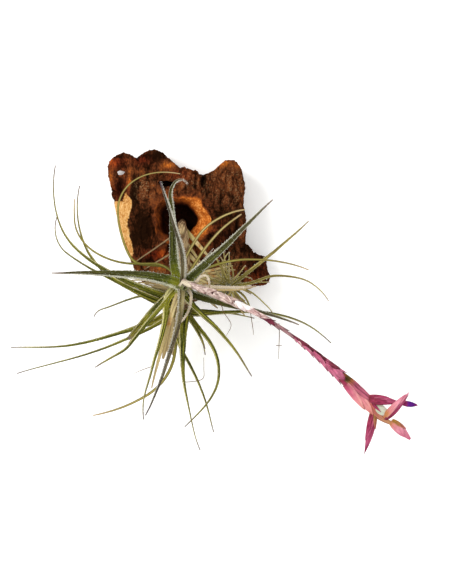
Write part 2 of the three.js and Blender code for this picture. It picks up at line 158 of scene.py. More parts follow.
# %% Smooth lines through points, and walked lines
def smooth(x, low, high):
    share = np.clip((x - low) / (high - low), 0, 1)
    return share * share * (3 - 2 * share)


def flowing(points, count, closed=False):
    """Evenly spaced places on a centripetal Catmull-Rom curve through points."""
    points = np.array(points, float)
    before, after = 2 * points[0] - points[1], 2 * points[-1] - points[-2]
    line = np.vstack([points[-1], points, points[:2]] if closed else [before, points, after])
    fine = []
    for p0, p1, p2, p3 in zip(line, line[1:], line[2:], line[3:]):
        d0, d1, d2 = (np.linalg.norm(b - a) ** 0.5 for a, b in ((p0, p1), (p1, p2), (p2, p3)))
        leave = ((p1 - p0) / d0 - (p2 - p0) / (d0 + d1) + (p2 - p1) / d1) * d1
        arrive = ((p2 - p1) / d1 - (p3 - p1) / (d1 + d2) + (p3 - p2) / d2) * d1
        t = np.linspace(0, 1, 24, endpoint=False)[:, None]
        fine.append((2 * t**3 - 3 * t**2 + 1) * p1 + (t**3 - 2 * t**2 + t) * leave
                    + (3 * t**2 - 2 * t**3) * p2 + (t**3 - t**2) * arrive)
    fine = np.vstack([*fine, line[-2]])
    run = np.concatenate([[0], np.cumsum(np.linalg.norm(np.diff(fine, axis=0), axis=1))])
    places = np.linspace(0, run[-1], count, endpoint=not closed)
    return np.stack([np.interp(places, run, fine[:, axis]) for axis in range(fine.shape[1])], 1)


def at_share(line, share):
    """The point at a share of a line's length, and the line's direction there."""
    spot = share * (len(line) - 1)
    low = min(int(spot), len(line) - 2)
    point = line[low] + (line[low + 1] - line[low]) * (spot - low)
    ahead = line[low + 1] - line[low]
    return point, ahead / np.linalg.norm(ahead)


def side_and_top(ahead):
    """The level direction beside a way ahead, and the one square to both, which points up."""
    side = np.cross((0, 0, 1), ahead)
    side /= np.linalg.norm(side)
    return side, np.cross(ahead, side)


def beyond(line, by):
    point, ahead = at_share(line, 1)
    return tuple(point + ahead * by)


def spread(values, share):
    """The values of a short list, at even steps, read at a share from 0 to 1."""
    return np.interp(share, np.linspace(0, 1, len(values)), values)


STEP = 1.2  # mm between the points of a walked line


def walked(start, heading, rise, length):
    count = max(10, math.ceil(length / STEP))
    middle = (np.arange(count) + 0.5) / count
    turn, lift = np.radians(spread(heading, middle)), np.radians(spread(rise, middle))
    ways = np.stack([np.cos(turn) * np.cos(lift), np.sin(turn) * np.cos(lift), np.sin(lift)], 1)
    return np.vstack([start, start + np.cumsum(ways * length / count, axis=0)])


# %% The plant's main lines
SEAT_GAP = 0.3
STEM_ROUTE = [(1, 0, 14.3), (1, 0, 26), (1, -3, 40), (1.5, -10, 51), (2.5, -26, 59), (3, -40, 61.5),
              (3, -52, 60)]
STEM_RADII = [3.6, 3.6, 3.6, 3.9, 4.2, 4.4, 4.4]
stem_line = flowing(STEM_ROUTE, 60)
FOOT_ROUTE = [beyond(stem_line, SEAT_GAP), beyond(stem_line, 4), (3, -66, 54.5), (2.5, -74, 52)]
FOOT_RADII = [4.2, 4.4, 5, 5.2]
CROWN_ROUTE = [(2.5, -74, 52), (2.4, -70, 64), (1.6, -54, 84), (3, -51.5, 92)]
CROWN_RADII = [5.2, 5, 3.2, 2.2]
crown_line = flowing(CROWN_ROUTE, 60)
SCAPE_ROUTE = [beyond(crown_line, SEAT_GAP), beyond(crown_line, 4.5), (16.5, -54.5, 103),
               (41.5, -64.7, 108), (67, -77.5, 109), (94.5, -95.8, 107), (107, -105.6, 105.5),
               (119.5, -116.4, 104), (126, -122.5, 102.4)]
SCAPE_RADII = [2.2, 2.1, 2, 2, 1.5, 1.2, 2, 2.6]
BRACT_RADII = [1.8, 1.9, 2.2, 2.6, 2.9, 2.7, 2.1, 1.7, 1.3, 1.2, 1, 1.4, 1.8, 2.4, 3.1, 3.6]
scape_line = flowing(SCAPE_ROUTE, 120)
HEAD_ROUTE = [beyond(scape_line, SEAT_GAP), beyond(scape_line, 3), (133, -129, 101),
              (139.5, -136, 100), (146, -142.5, 99), (151, -147.5, 98.5), (155.5, -153.5, 98),
              (160.5, -157.5, 97.5), (167, -160.5, 97)]
HEAD_RADII = [3.6, 4.3, 5.2, 5.6, 5.3, 4.4, 2.9, 2, 1.6]
head_line = flowing(HEAD_ROUTE, 60)
RUNNER_ROUTE = [(3, -66, 55), (16, -61, 52), (30, -55, 52)]
RUNNER_RADII = [3, 2.4, 2.6]
OFFSET_ROUTE = [(29, -55, 51.5), (36, -54, 56), (41, -53, 66)]
OFFSET_RADII = [2.8, 3, 1.8]
offset_line = flowing(OFFSET_ROUTE, 30)
stalk_mm = np.linalg.norm(np.diff(scape_line, axis=0), axis=1).sum()
print(f"the flower stalk is {stalk_mm:.0f} mm long")

# %% [markdown]
# ## Strands: lines that carry numbers
# Geometry Nodes can sweep a section along a line. To let one tree make a broad flat leaf, a rolled
# tip and a bract that wraps the stalk, each point of a line carries its own numbers: how far along
# it is, how the blade curls there, how thick it is. A mesh of edges alone can hold them as
# attributes, so that is what the tree starts from.

# %% Strands as a mesh of edges
def numbered(mesh, **values):
    """Leaves on each point of a mesh the numbers that a tree or a skin reads."""
    for key, value in values.items():
        value = np.broadcast_to(np.asarray(value, np.float32), len(mesh.vertices))
        layer = mesh.attributes.new(key, "FLOAT", "POINT")
        layer.data.foreach_set("value", np.ascontiguousarray(value))


def edge_mesh(name, strands):
    points = np.vstack([strand["points"] for strand in strands]) * MM
    edges, start = [], 0
    for strand in strands:
        stop = start + len(strand["points"])
        edges += [(i, i + 1) for i in range(start, stop - 1)]
        start = stop
    mesh = bpy.data.meshes.new(name)
    mesh.from_pydata(points.tolist(), edges, [])
    for key in sorted(set(strands[0]) - {"points"}):
        values = [np.broadcast_to(strand[key], len(strand["points"])) for strand in strands]
        numbered(mesh, **{key: np.concatenate(values)})
    return mesh


def blade(points, width, taper=1.2, roll=0, fold=(30, 46, 80), thick=(1.5, 0.5), tip=0.7,
          tint=0.5, silver=0.5, dry=0.93, lean=0, sheath=0):
    """A leaf: width in mm, fold the half angle of its channel in degrees, dry where its tip dies.

    The shift of its lit side, from -1 to 1, pushes the pale silver margin to one side: painted light
    on one side of the channel. Its sheath is how much broader it is at its very root, as a share of
    its width.
    """
    share = np.linspace(0, 1, len(points))
    half = (tip + (width - tip) * (1 - share) ** taper) / 2
    half = half * (1 + sheath * (1 - smooth(share, 0, 0.2)))
    bend = np.radians(spread(fold, share))
    curl = half / np.sin(np.minimum(bend, math.pi / 2))
    depth = np.minimum(spread(thick, share), 1.5 * curl)
    return {"points": points, "share": share, "fold": bend, "curl": curl * MM, "thick": depth * MM,
            "roll": math.radians(roll), "tint": tint, "silver": silver, "dry": dry, "lean": lean}


def round_stem(route, radii, count=60):
    share = np.linspace(0, 1, count)
    return {"points": flowing(route, count), "share": share, "radius": spread(radii, share) * MM}


test_blade = blade(walked((0, 0, 0), [0], [10], 100), 10)
print("a blade of 100 mm has", len(test_blade["points"]), "points")

# %% [markdown]
# ## The leaf blade tree
# A leaf of this plant is a channel: nearly flat where it leaves the crown, a gutter along its
# middle, and rolled almost into a thread at its tip. A plain sweep can only scale one section, so
# here the tree sweeps a circle, remembers where on the circle each point was, and then moves each
# point to where it belongs. Across the leaf it follows an arc with the curl's radius, and the
# circle's height becomes the leaf's thickness, which thins out to nothing at the margins.

# %% A node tree with named inputs
def node_tree(name, inputs):
    tree = bpy.data.node_groups.new(name, "GeometryNodeTree")
    tree.interface.new_socket("Geometry", in_out="OUTPUT", socket_type="NodeSocketGeometry")
    tree.interface.new_socket("Geometry", in_out="INPUT", socket_type="NodeSocketGeometry")
    for label, kind in inputs.items():
        tree.interface.new_socket(label, in_out="INPUT", socket_type="NodeSocket" + kind)
    return tree, tree.nodes.new("NodeGroupInput").outputs


def closed(tree, shape, given):
    """Ends a tree: real geometry, not instances, in the finish that the tree was given."""
    real = add(tree, "GeometryNodeRealizeInstances", [shape])
    finished = add(tree, "GeometryNodeSetMaterial", {"Geometry": real, "Material": given["Finish"]})
    add(tree, "NodeGroupOutput", [finished])
    return tree


def applied(piece, modifier):
    """Keeps what a modifier makes of a piece as its plain mesh, and removes the modifier."""
    graph = bpy.context.evaluated_depsgraph_get()
    mesh = bpy.data.meshes.new_from_object(piece.evaluated_get(graph),
                                           preserve_all_data_layers=True, depsgraph=graph)
    piece.modifiers.remove(modifier)
    piece.data = mesh


def grown(name, mesh, tree, inputs):
    """Runs a tree on a mesh and keeps the result as a plain mesh object at the origin."""
    piece = linked(name, mesh)
    modifier = piece.modifiers.new("grow", "NODES")
    modifier.node_group = tree
    for socket in tree.interface.items_tree:
        if socket.in_out == "INPUT" and socket.name in inputs:
            modifier[socket.identifier] = inputs[socket.name]
    applied(piece, modifier)
    piece.data.name = name
    print(f"{name}: {len(piece.data.vertices)} points, {len(piece.data.polygons)} faces")
    return piece


# %% The tree that grows leaves and bracts
tree, given = node_tree("leaf blade",
                        {"Section points": "Int", "Ragged edge": "Float", "Finish": "Material"})
numbers = {key: add(tree, NUMBER, {"Name": key}) for key in ("roll", "fold", "curl", "thick")}
chain = add(tree, "GeometryNodeMeshToCurve", [given["Geometry"]])
tilted = add(tree, "GeometryNodeSetCurveTilt", {"Curve": chain, "Tilt": numbers["roll"]})
level = add(tree, "GeometryNodeSetCurveNormal", {"Curve": tilted}, mode="Z_UP")
line = add(tree, "GeometryNodeCaptureAttribute",
           {"Geometry": level, "centre": add(tree, "GeometryNodeInputPosition"),
            "ahead": add(tree, "GeometryNodeInputTangent"),
            "side": add(tree, "GeometryNodeInputNormal")},
           captures=[("VECTOR", "centre"), ("VECTOR", "ahead"), ("VECTOR", "side")])
circle = add(tree, "GeometryNodeCurvePrimitiveCircle",
             {"Resolution": given["Section points"], "Radius": 1})
ring = add(tree, "GeometryNodeCaptureAttribute",
           {"Geometry": circle, "spot": add(tree, "GeometryNodeInputPosition")},
           captures=[("VECTOR", "spot")])
sweep = add(tree, "GeometryNodeCurveToMesh",
            {"Curve": line, "Profile Curve": ring, "Fill Caps": True})

# Where each point belongs: across = (curl - depth) sin a, high = curl - (curl - depth) cos a.
spot = add(tree, "ShaderNodeSeparateXYZ", [ring.outputs["spot"]])
angle = add(tree, TIMES, [spot.outputs["X"], numbers["fold"]])
half_thick = add(tree, TIMES, [numbers["thick"], 0.5])
depth = add(tree, TIMES, [spot.outputs["Y"], half_thick])
radius = add(tree, MINUS, [numbers["curl"], depth])
sine = add(tree, SINE, [angle])
cosine = add(tree, COSINE, [angle])
swept = add(tree, TIMES, [radius, sine])
# A margin is never a clean line: a noise along it, different on each side, makes it uneven.
beside = add(tree, "ShaderNodeCombineXYZ", [add(tree, TIMES, [spot.outputs["X"], 0.004])])
near = add(tree, VECTOR_PLUS, [line.outputs["centre"], beside])
ragged = add(tree, NOISE, {"Vector": near, "Scale": 1 / (1.7 * MM)})
off = add(tree, MINUS, [ragged.outputs[0], 0.5])
uneven = add(tree, TIMES_PLUS, [off, given["Ragged edge"], 1])
across = add(tree, TIMES, [swept, uneven])
fallen = add(tree, TIMES, [radius, cosine])
high = add(tree, MINUS, [numbers["curl"], fallen])
up = add(tree, CROSS, [line.outputs["ahead"], line.outputs["side"]])
sideways = add(tree, SCALED, {"Vector": line.outputs["side"], "Scale": across})
upwards = add(tree, SCALED, {"Vector": up, "Scale": high})
moved = add(tree, VECTOR_PLUS, [sideways, upwards])
place = add(tree, VECTOR_MINUS, [line.outputs["centre"], moved])
shaped = add(tree, "GeometryNodeSetPosition", {"Geometry": sweep, "Position": place})
marked = shaped
for label, value in (("across", spot.outputs["X"]), ("inner", spot.outputs["Y"])):
    marked = add(tree, "GeometryNodeStoreNamedAttribute",
                 {"Geometry": marked, "Name": label, "Value": value})
blade_tree = closed(tree, marked, given)

# %% [markdown]
# ## The round stem tree
# Stems, the runner, roots and fibres are round, so here a plain sweep is enough: the circle is
# scaled by the radius that each point carries. Living and dry stems alike are uneven, so the tree
# pushes each point in or out by a noise that is stretched by nothing but its own size.

# %% The tree that grows stems
tree, given = node_tree("round stem",
                        {"Section points": "Int", "Wrinkle size": "Float", "Wrinkle depth": "Float",
                         "Finish": "Material"})
thickness = add(tree, NUMBER, {"Name": "radius"})
chain = add(tree, "GeometryNodeMeshToCurve", [given["Geometry"]])
circle = add(tree, "GeometryNodeCurvePrimitiveCircle",
             {"Resolution": given["Section points"], "Radius": 1})
sweep = add(tree, "GeometryNodeCurveToMesh",
            {"Curve": chain, "Profile Curve": circle, "Scale": thickness, "Fill Caps": True})
fineness = add(tree, OVER, [1, given["Wrinkle size"]])
wrinkles = add(tree, NOISE,
               {"Vector": add(tree, "GeometryNodeInputPosition"), "Scale": fineness, "Detail": 3})
uneven = add(tree, MINUS, [wrinkles.outputs[0], 0.5])
push = add(tree, TIMES, [uneven, given["Wrinkle depth"]])
outward = add(tree, SCALED, {"Vector": add(tree, "GeometryNodeInputNormal"), "Scale": push})
wrinkled = add(tree, "GeometryNodeSetPosition", {"Geometry": sweep, "Offset": outward})
stem_tree = closed(tree, wrinkled, given)

# %% [markdown]
# ## Leaf skins
# A living leaf's skin is green tissue under a coat of silver scales, which is thick at the margins
# and on the underside and thin in the gutter. So every leaf finish is layered in the same order:
# the tissue's colour along the leaf, faint veins, the silver coat, and last the dead tip. Only the
# colours differ between a young leaf, an old one, a yellowing one and a dry one. The patterns
# follow the leaf through the numbers that the blade tree left on it.

# %% A finish for leaves and bracts
def skin(name, along, margin, silver, tip, rim="#6A5A28", rim_share=0.0, rim_from=0.8,
         roughness=0.6, gloss=0.02, coat=0.35, vein=0.12, scurf=0.9, stripe="#9C9A40", striped=0.0):
    """Colours run along the blade from root to tip, with silver margins and a dead tip.

    The rim is the thin dark line that an older leaf has along its very edge. The scurf is the
    size of the silver specks in mm. Real scales are a tenth of it and would not show.
    """
    made, tree, shader = material(name, Roughness=roughness, Specular_IOR_Level=gloss)
    read = {key: add(tree, "ShaderNodeAttribute", attribute_name=key).outputs["Fac"]
            for key in ("share", "across", "inner", "tint", "silver", "dry", "lean")}
    spot = add(tree, "ShaderNodeTexCoord").outputs["Object"]

    # Cloudy differences of a few millimetres, and a different shade for each blade.
    cloud = add(tree, NOISE, {"Vector": spot, "Scale": 1 / (7 * MM), "Detail": 2})
    shift = add(tree, TIMES_PLUS, [cloud, 0.22, -0.11])
    shade = add(tree, TIMES_PLUS, [read["tint"], 0.24, -0.12])
    spread_out = add(tree, PLUS, [read["share"], shift])
    shaded = add(tree, PLUS, [spread_out, shade])
    tissue = add(tree, RAMP, [shaded], stops=along)

    # Veins run from root to tip: streaks that are long along the blade and narrow across it.
    strip = add(tree, "ShaderNodeCombineXYZ",
                [add(tree, TIMES, [read["across"], 5]), add(tree, TIMES, [read["share"], 4]),
                 add(tree, TIMES, [read["tint"], 40])])
    streak = add(tree, NOISE, {"Vector": strip, "Scale": 1, "Detail": 3})
    vein_shade = add(tree, RANGE, [streak, 0.3, 0.7, 1 - vein * 2, 1 + vein])
    light_streak = add(tree, RANGE, [streak, 0.5, 0.62, 0, striped])
    streaked = add(tree, MIX, [light_streak, tissue, colour(stripe)])
    veined = add(tree, SCALED, {"Vector": streaked, "Scale": vein_shade})

    # The silver coat: at the margins, on the underside, and as a fine speckle all over.
    # Painted light: the pale silver band is pushed towards one side of the channel, so that side
    # looks lit.
    pushed = add(tree, TIMES_PLUS, [read["lean"], 0.4, read["across"]])
    off_centre = add(tree, UNSIGNED, [pushed])
    edge = add(tree, SMOOTH_RANGE, [off_centre, 0.62, 0.97, 0, 1])
    under = add(tree, RANGE, [read["inner"], 0.1, -0.5, 0, 0.55])
    speck = add(tree, NOISE, {"Vector": spot, "Scale": 1 / (scurf * MM), "Detail": 1})
    speckle = add(tree, RANGE, [speck, 0.5, 0.68, 0, coat])
    most = add(tree, LARGER, [edge, under])
    coated = add(tree, LARGER, [most, speckle])
    uneven = add(tree, RANGE, [speck, 0.32, 0.6, 0.45, 1])
    patchy = add(tree, TIMES, [coated, uneven])
    brushed = add(tree, RANGE, [streak, 0.36, 0.56, 0.5, 1])
    patchy = add(tree, TIMES, [patchy, brushed])
    cover = add(tree, TIMES, [patchy, read["silver"]], use_clamp=True)
    coat_colour = add(tree, MIX, [under, colour(margin), colour(silver)])
    silvered = add(tree, MIX, [cover, veined, coat_colour])

    outmost = add(tree, UNSIGNED, [read["across"]])
    at_rim = add(tree, SMOOTH_RANGE, [outmost, rim_from, rim_from + 0.18, 0, rim_share])
    rimmed = add(tree, MIX, [at_rim, silvered, colour(rim)])

    # The tip dies back to straw, and then to grey.
    ends = add(tree, MINUS, [read["share"], read["dry"]])
    dying = add(tree, SMOOTH_RANGE, [ends, -0.06, 0.05, 0, 0.9])
    aged = add(tree, MIX, [dying, rimmed, colour(tip)])
    tree.links.new(output(aged), shader.inputs["Base Color"])
    bump = add(tree, "ShaderNodeBump", {"Strength": 0.35, "Distance": 0.15 * MM, "Height": speck})
    tree.links.new(bump.outputs[0], shader.inputs["Normal"])
    return made


# %% The leaf skins, from the youngest leaf to the dead stem
young_skin = skin("young leaf under silver scales",
                  [(0, "#94942A"), (0.07, "#6A701A"), (0.15, "#3E4411"), (0.3, "#353710"),
                   (0.65, "#3C3818"), (1, "#544A38")], "#DCDAC6", "#A09F84", "#807066", coat=0.12,
                  vein=0.3, stripe="#5E6226", striped=0.5)
ageing_skin = skin("ageing silver leaf",
                   [(0, "#8C8052"), (0.25, "#766A42"), (0.5, "#4A402C"), (1, "#2E2622")], "#E2DECE",
                   "#A8A08A", "#54464A", rim="#3A2C22", rim_share=0.5, rim_from=0.8, coat=0.15,
                   vein=0.4, stripe="#8E8460", striped=0.5)
green_skin = skin("older green leaf",
                  [(0, "#A09C2A"), (0.1, "#72701A"), (0.24, "#464D12"), (0.5, "#363F10"),
                   (0.8, "#4E481A"), (1, "#72613C")], "#E4DA9C", "#96944F", "#6E5F5C",
                  rim="#2E220C", rim_share=0.75, rim_from=0.84, coat=0.14, vein=0.45,
                  stripe="#969030", striped=0.8)
offset_skin = skin("offset leaf",
                   [(0, "#5E5622"), (0.35, "#6A5E26"), (0.7, "#86773C"), (1, "#A8965E")], "#D8CE92",
                   "#B8AC70", "#96866A", rim="#4A3E18", rim_share=0.6, rim_from=0.82, coat=0.3,
                   vein=0.4, stripe="#B8A860", striped=0.6)
bleached_skin = skin("bleached leaf",
                     [(0, "#A8A07A"), (0.3, "#BBAA8A"), (0.8, "#C9B79A"), (1, "#B09A80")],
                     "#EAE2D0", "#DCD2BC", "#9A8468", rim="#7A5A44", rim_share=0.5, rim_from=0.75,
                     coat=0.6, vein=0.25, stripe="#8A8468", striped=0.4)
yellow_skin = skin("yellowing leaf",
                   [(0, "#66662A"), (0.25, "#7C7832"), (0.55, "#A0914A"), (1, "#BBA672")],
                   "#D6CA90", "#BDB478", "#A89068", rim="#54481C", rim_share=0.85, rim_from=0.55,
                   coat=0.25, vein=0.25, stripe="#B9AC5C", striped=0.5)
dry_skin = skin("dry straw leaf",
                [(0, "#9C8E50"), (0.15, "#BBA868"), (0.3, "#D2BC80"), (0.46, "#DCC892"),
                 (0.55, "#BC7C42"), (0.61, "#D6BE84"), (1, "#BFA878")], "#EADCAE", "#D9C592",
                "#A08C68", rim="#6A4826", rim_share=0.55, rim_from=0.7, roughness=0.8, vein=0.3,
                stripe="#857A34", striped=0.6)
sheath_skin = skin("brown dead sheath", [(0, "#5E4030"), (0.4, "#86694C"), (1, "#A8936A")],
                   "#B8A680", "#9A8460", "#5E4630", rim="#4A3020", rim_share=0.7, rim_from=0.7,
                   roughness=0.85, vein=0.4, stripe="#B39E74", striped=0.5)
# Dead stem, and painted shade: the crown's core wears this dark brown too, so that the gaps between
# its leaves look dark.
dead_stem_and_shade_skin = skin("dead stem", [(0, "#3E2A1A"), (0.5, "#5E4228"), (1, "#6A5232")], "#8E7248",
                 "#7A6040", "#5E4630", roughness=0.9, vein=0.3)
print("leaf skins:", young_skin.name, "/", green_skin.name, "/", yellow_skin.name)

# %% [markdown]
# ## The bark
# Cork bark is the thick outer coat of a cork oak. Here a plate of it lies on its sawn back, with a
# knothole where a branch once grew. It could be a sculpted block, but its shape has a logic: rings
# that start on the floor of the hole, climb its funnel, cross the fissured face to the broken edge
# and go round to the back. So the rings are worked out first, as one closed skin, and then Geometry
# Nodes add the fine relief, which follows the surface: the cracks between plates and the crumb.

# %% The bark's form
BARK_OUTLINE = [
    (-41.5, -33), (-46, -22), (-51, -8), (-54.5, 6), (-57, 18), (-59, 29), (-61, 39), (-62, 46),
    (-61, 50.5), (-58, 54.5), (-52, 58), (-47, 59), (-43, 57.5), (-38.5, 54.5), (-35.5, 56.5),
    (-30.5, 59), (-25.5, 61), (-20.5, 61.3), (-17, 60), (-13, 55.5), (-8, 51.5), (-5, 48),
    (-2, 45.5), (2, 45.5), (7.5, 43.5), (14, 42), (17, 39.5), (20.5, 40), (28, 43.5), (33, 48),
    (37, 51), (41, 51.5), (44.5, 50.5), (47.5, 48), (50, 43), (52, 34.5), (53, 26.5), (52, 18),
    (53, 7.5), (54, 0), (54.5, -8), (53, -16.5), (57, -20.5), (61, -25.5), (64, -28.5), (70, -29),
    (71.5, -36), (74, -47), (70.5, -51), (61, -52), (48.5, -52.5), (32, -53.5), (15.5, -53.5),
    (-1, -51.5), (-13, -49.5), (-25.5, -51), (-34, -47.5), (-38.5, -39.5),
]
BARK_HEIGHT = 46
FISSURE_PITCH = 12
FISSURE_DEPTH = 2
LEDGE_DROP = 14


def ledge(x, y):
    """How much of the broken ledge a point is on, from 0 on the face to 1."""
    column = smooth(-x, 40, 45) * smooth(y, 13, 21)
    shelf = smooth(y, 33, 37.5) * smooth(-x, 5, 13)
    return np.maximum(column, shelf)


def furrow(x, y):
    """Wavy furrows along the grain, from 0 on a ridge to 1 at the bottom of a furrow."""
    wander = 2.6 * np.sin(y / 13 + x / 31) + 1.3 * np.sin(y / 5.5 - x / 17)
    phase = (x + wander) / FISSURE_PITCH
    ridge = np.round(phase)
    return np.exp(-(((phase - ridge) / 0.12) ** 2)) * (0.55 + 0.45 * np.sin(y / 7 + 2 * ridge))


def notch(x, y):
    """One deep split that runs down from the bark's top end."""
    return np.exp(-(((x - 18.4 - 0.05 * (y - 30)) / 1.3) ** 2)) * smooth(y, 27, 33)


def bark_face(x, y):
    plate = BARK_HEIGHT - 0.0034 * (x - 2) ** 2 - 0.03 * (y + 20) - 9 * smooth(x, 50, 62)
    return plate - LEDGE_DROP * ledge(x, y) - FISSURE_DEPTH * furrow(x, y) - 6 * notch(x, y)


# %% The bark's rings, from the floor of the hole to the middle of the back
ASPECTS = 560  # points round each ring
edge = flowing(BARK_OUTLINE, ASPECTS, closed=True)
edge_x, edge_y = edge[:, 0], edge[:, 1]
edge_angle = np.arctan2(edge_y, edge_x)
edge_reach = np.hypot(edge_x, edge_y)
bare_side = 10 * smooth(-edge_x, 38, 46) * smooth(33 - edge_y, 0, 8)
overhang = smooth(-edge_x, 34, 50) * smooth(edge_y, 26, 40)

# Floor, pocket, throat, neck and funnel of the hole: radii, height, and how far it leans left.
HOLE_RADII_X = [0.6, 10, 13, 15.5, 17.5, 20.5, 23]
HOLE_RADII_Y = [0.6, 10, 13, 14, 16, 18.5, 20.3]
HOLE_HEIGHTS = [14, 14, 17, 32, 39, 43.5, 45.5]
HOLE_LEAN = [-1, -1.5, -2, -3, -2.5, -1, 0]
HOLE_RISE = [0, 0.5, 1, 1.6, 1.6, 0.8, 0]
HOLE_RINGS, FACE_RINGS = 30, 48


def edge_ring(inward, z):
    share = 1 - inward / edge_reach
    return np.stack([edge_x * share, edge_y * share, np.broadcast_to(z, ASPECTS)], 1)


def hole_ring(share):
    wavy = 1 + 0.06 * np.sin(3 * edge_angle + 1) + 0.04 * np.sin(5 * edge_angle + 2)
    wavy = wavy + 0.025 * np.sin(11 * edge_angle) * np.sin(4 * edge_angle + 1)
    x = spread(HOLE_LEAN, share) + spread(HOLE_RADII_X, share) * wavy * np.cos(edge_angle)
    y = spread(HOLE_RISE, share) + spread(HOLE_RADII_Y, share) * wavy * np.sin(edge_angle)
    return np.stack([x, y, np.full(ASPECTS, spread(HOLE_HEIGHTS, share))], 1)


def face_ring(share):
    shoulder = edge_ring(1.5 + bare_side, 0)
    ring = hole_ring(1) * (1 - share) + shoulder * share
    height = bark_face(ring[:, 0], ring[:, 1])
    ring[:, 2] = height + 0.5 * (1 - smooth(share, 0, 0.1)) - 2.5 * smooth(share, 0.93, 1)
    return ring


side_top = bark_face(edge_x, edge_y) * (0.72 - 0.35 * smooth(bare_side, 0, 10))
stations = [
    *[hole_ring(share) for share in np.linspace(0, 0.97, HOLE_RINGS)],
    *[face_ring(share) for share in np.linspace(0, 1, FACE_RINGS)],
]
outside = [face_ring(1), edge_ring(0, side_top), edge_ring(2 + 2 * overhang, 8 + 7 * overhang),
           edge_ring(5 + 19 * overhang, 3 + 8 * overhang), edge_ring(7 + 20 * overhang, 0),
           hole_ring(0.33) * (1, 1, 0), hole_ring(0) * (1, 1, 0)]
for low, high, steps in zip(outside, outside[1:], (8, 14, 4, 3, 4, 3)):
    stations += [low + (high - low) * share for share in np.linspace(0, 1, steps + 1)[1:]]
rings = np.stack(stations)
print("bark:", len(rings), "rings of", ASPECTS, "points")

# %% [markdown]
# ## What each place of the bark looks like
# A photograph of cork bark shows weathered brown plates, black cracks, bright orange where it has
# broken lately, and tan where the outer layer has come away. A texture alone would scatter these at
# random. So each point of the bark gets a few numbers from 0 to 1: for fresh orange breaks, with
# painted light on the knothole's lit side; for ruddy, bare and flecked places; for soot, with
# painted shade in the split, the crevice and the ledge's step; and for painted shade deep in the
# knothole. A few soft spots, listed below, say where each of them is strong.

# %% Masks on the bark
# Each spot has its centre, its two radii in mm, and its strength.
BROKEN_SPOTS = [
    (-10.5, 47.3, 6.5, 2.8, 1), (-43, 35, 2.2, 8, 0.9), (-60, 38, 2.5, 7, 0.9),
    (-36, 42, 7, 1.8, 0.6), (-22, 51, 5, 3, 0.3), (-59, 51, 3, 4, 0.5), (36, 47.5, 7, 3.4, 1),
    (45, 46, 4, 4, 0.4), (-15, -26.5, 5, 3.4, 0.8), (-15, -38.5, 9, 3, 0.6), (-20, 15, 4, 4, 0.3),
    (17, -22, 5, 8, 0.4), (58, -47, 8, 4, 0.3), (-18, 26, 5, 3, 0.25), (-23.5, 0, 2.6, 11, 0.35),
]
RUDDY_SPOTS = [
    (-54, 51, 9, 7, 0.9), (-51, 26, 7, 11, 0.9), (-32, 53, 8, 6, 1), (-20, -27, 13, 6, 1),
    (-2, 38, 12, 6, 0.6), (62, -40, 10, 10, 0.7), (30, -10, 14, 14, 0.4), (0, 0, 24, 21, 0.5),
]
# Soot on charred cork, and painted shade: the spots in the split at the top end, in the crevice and
# along the ledge's step darken where shade falls.
SOOT_AND_SHADE_SPOTS = [
    (-31, -6, 12, 16, 1), (-37, -12, 6, 12, 1), (-38.5, 24, 3.4, 15, 1), (-20, 55, 8.5, 5.4, 0.95),
    (-3, 50, 4, 4, 0.9), (46, 4, 8, 12, 0.45), (54, -22, 6, 7, 0.8), (-27, -31, 6, 2.5, 0.8),
    (18.6, 34, 2, 8, 1), (32, -50, 8, 3, 0.7), (-51, 33, 4, 5, 0.7), (24, -45, 5, 4, 0.7),
    (36, -26, 8, 5, 0.5), (-46, 48, 5, 3, 0.5), (36, -6, 18, 22, 0.55), (-52, 29, 6, 9, 0.5),
    (-34, 56, 6, 4, 0.5), (-50, 55, 6, 2.4, 0.5), (-22, 34, 5, 3, 0.5), (62, -38, 9, 9, 0.6),
    (-11.8, 31.7, 7, 2.4, 1), (-29, 46, 4, 5, 0.5),
]
FLECKED_SPOTS = [(42, 29, 10, 14, 0.9), (-30, 27, 7, 9, 1), (46, -34, 7, 7, 1),
                 (26, 28, 10, 12, 0.6), (5, 33, 12, 7, 0.6), (-16, -39, 9, 4, 0.9)]


def spotted(spots, x, y):
    total = np.zeros_like(x)
    for centre_x, centre_y, radius_x, radius_y, strength in spots:
        away = ((x - centre_x) / radius_x) ** 2 + ((y - centre_y) / radius_y) ** 2
        total = np.maximum(total, strength * np.exp(-away))
    return total


bark_points = rings.reshape(-1, 3)
x, y, z = bark_points.T
ring_number = np.repeat(np.arange(len(rings)), ASPECTS)
in_hole = ring_number < HOLE_RINGS
on_back = z < 0.5
turn = np.arctan2(y, x)
rim_reach = np.hypot(x / HOLE_RADII_X[-1], y / HOLE_RADII_Y[-1])
rim_reach = rim_reach * (1 + 0.05 * np.sin(5 * turn) + 0.03 * np.sin(11 * turn + 1))
# Painted light and shade on the knothole: the side of its funnel that faces the lamp is painted
# brighter, and its upper wall is painted dark further out, as shade.
lit_side = 0.4 + 0.6 * smooth(np.cos(turn - 0.2), -0.2, 0.8)
depth_with_upper_shade = z - 5 * smooth(np.sin(turn), 0.3, 1)  # the funnel's upper wall is dark further out
# The funnel's orange is fresh cork, made brighter on its lit side as painted light.
funnel_cork_and_light = np.where(in_hole, smooth(depth_with_upper_shade, 27, 36), 0.9 * (1 - smooth(rim_reach, 1, 1.12)))
splintered = smooth(-np.cos(turn), 0, 0.7) * smooth(np.sin(9 * turn + 0.4 * z), -0.4, 0.6)
funnel_cork_and_light = funnel_cork_and_light * lit_side * (1 - 0.6 * splintered)
bare_from = 40.5 + 4.5 * np.exp(-(((y + 3) / 7) ** 2)) + 0.7 * np.sin(y / 3)
bare = smooth(-x - bare_from, 0, 1.5) * smooth(19 + 8 * smooth(x, -50, -45) - y, 0, 1.5)
outer_rings = smooth(ring_number, HOLE_RINGS + 28, HOLE_RINGS + 34)
bare = bare * outer_rings * (z > 1)
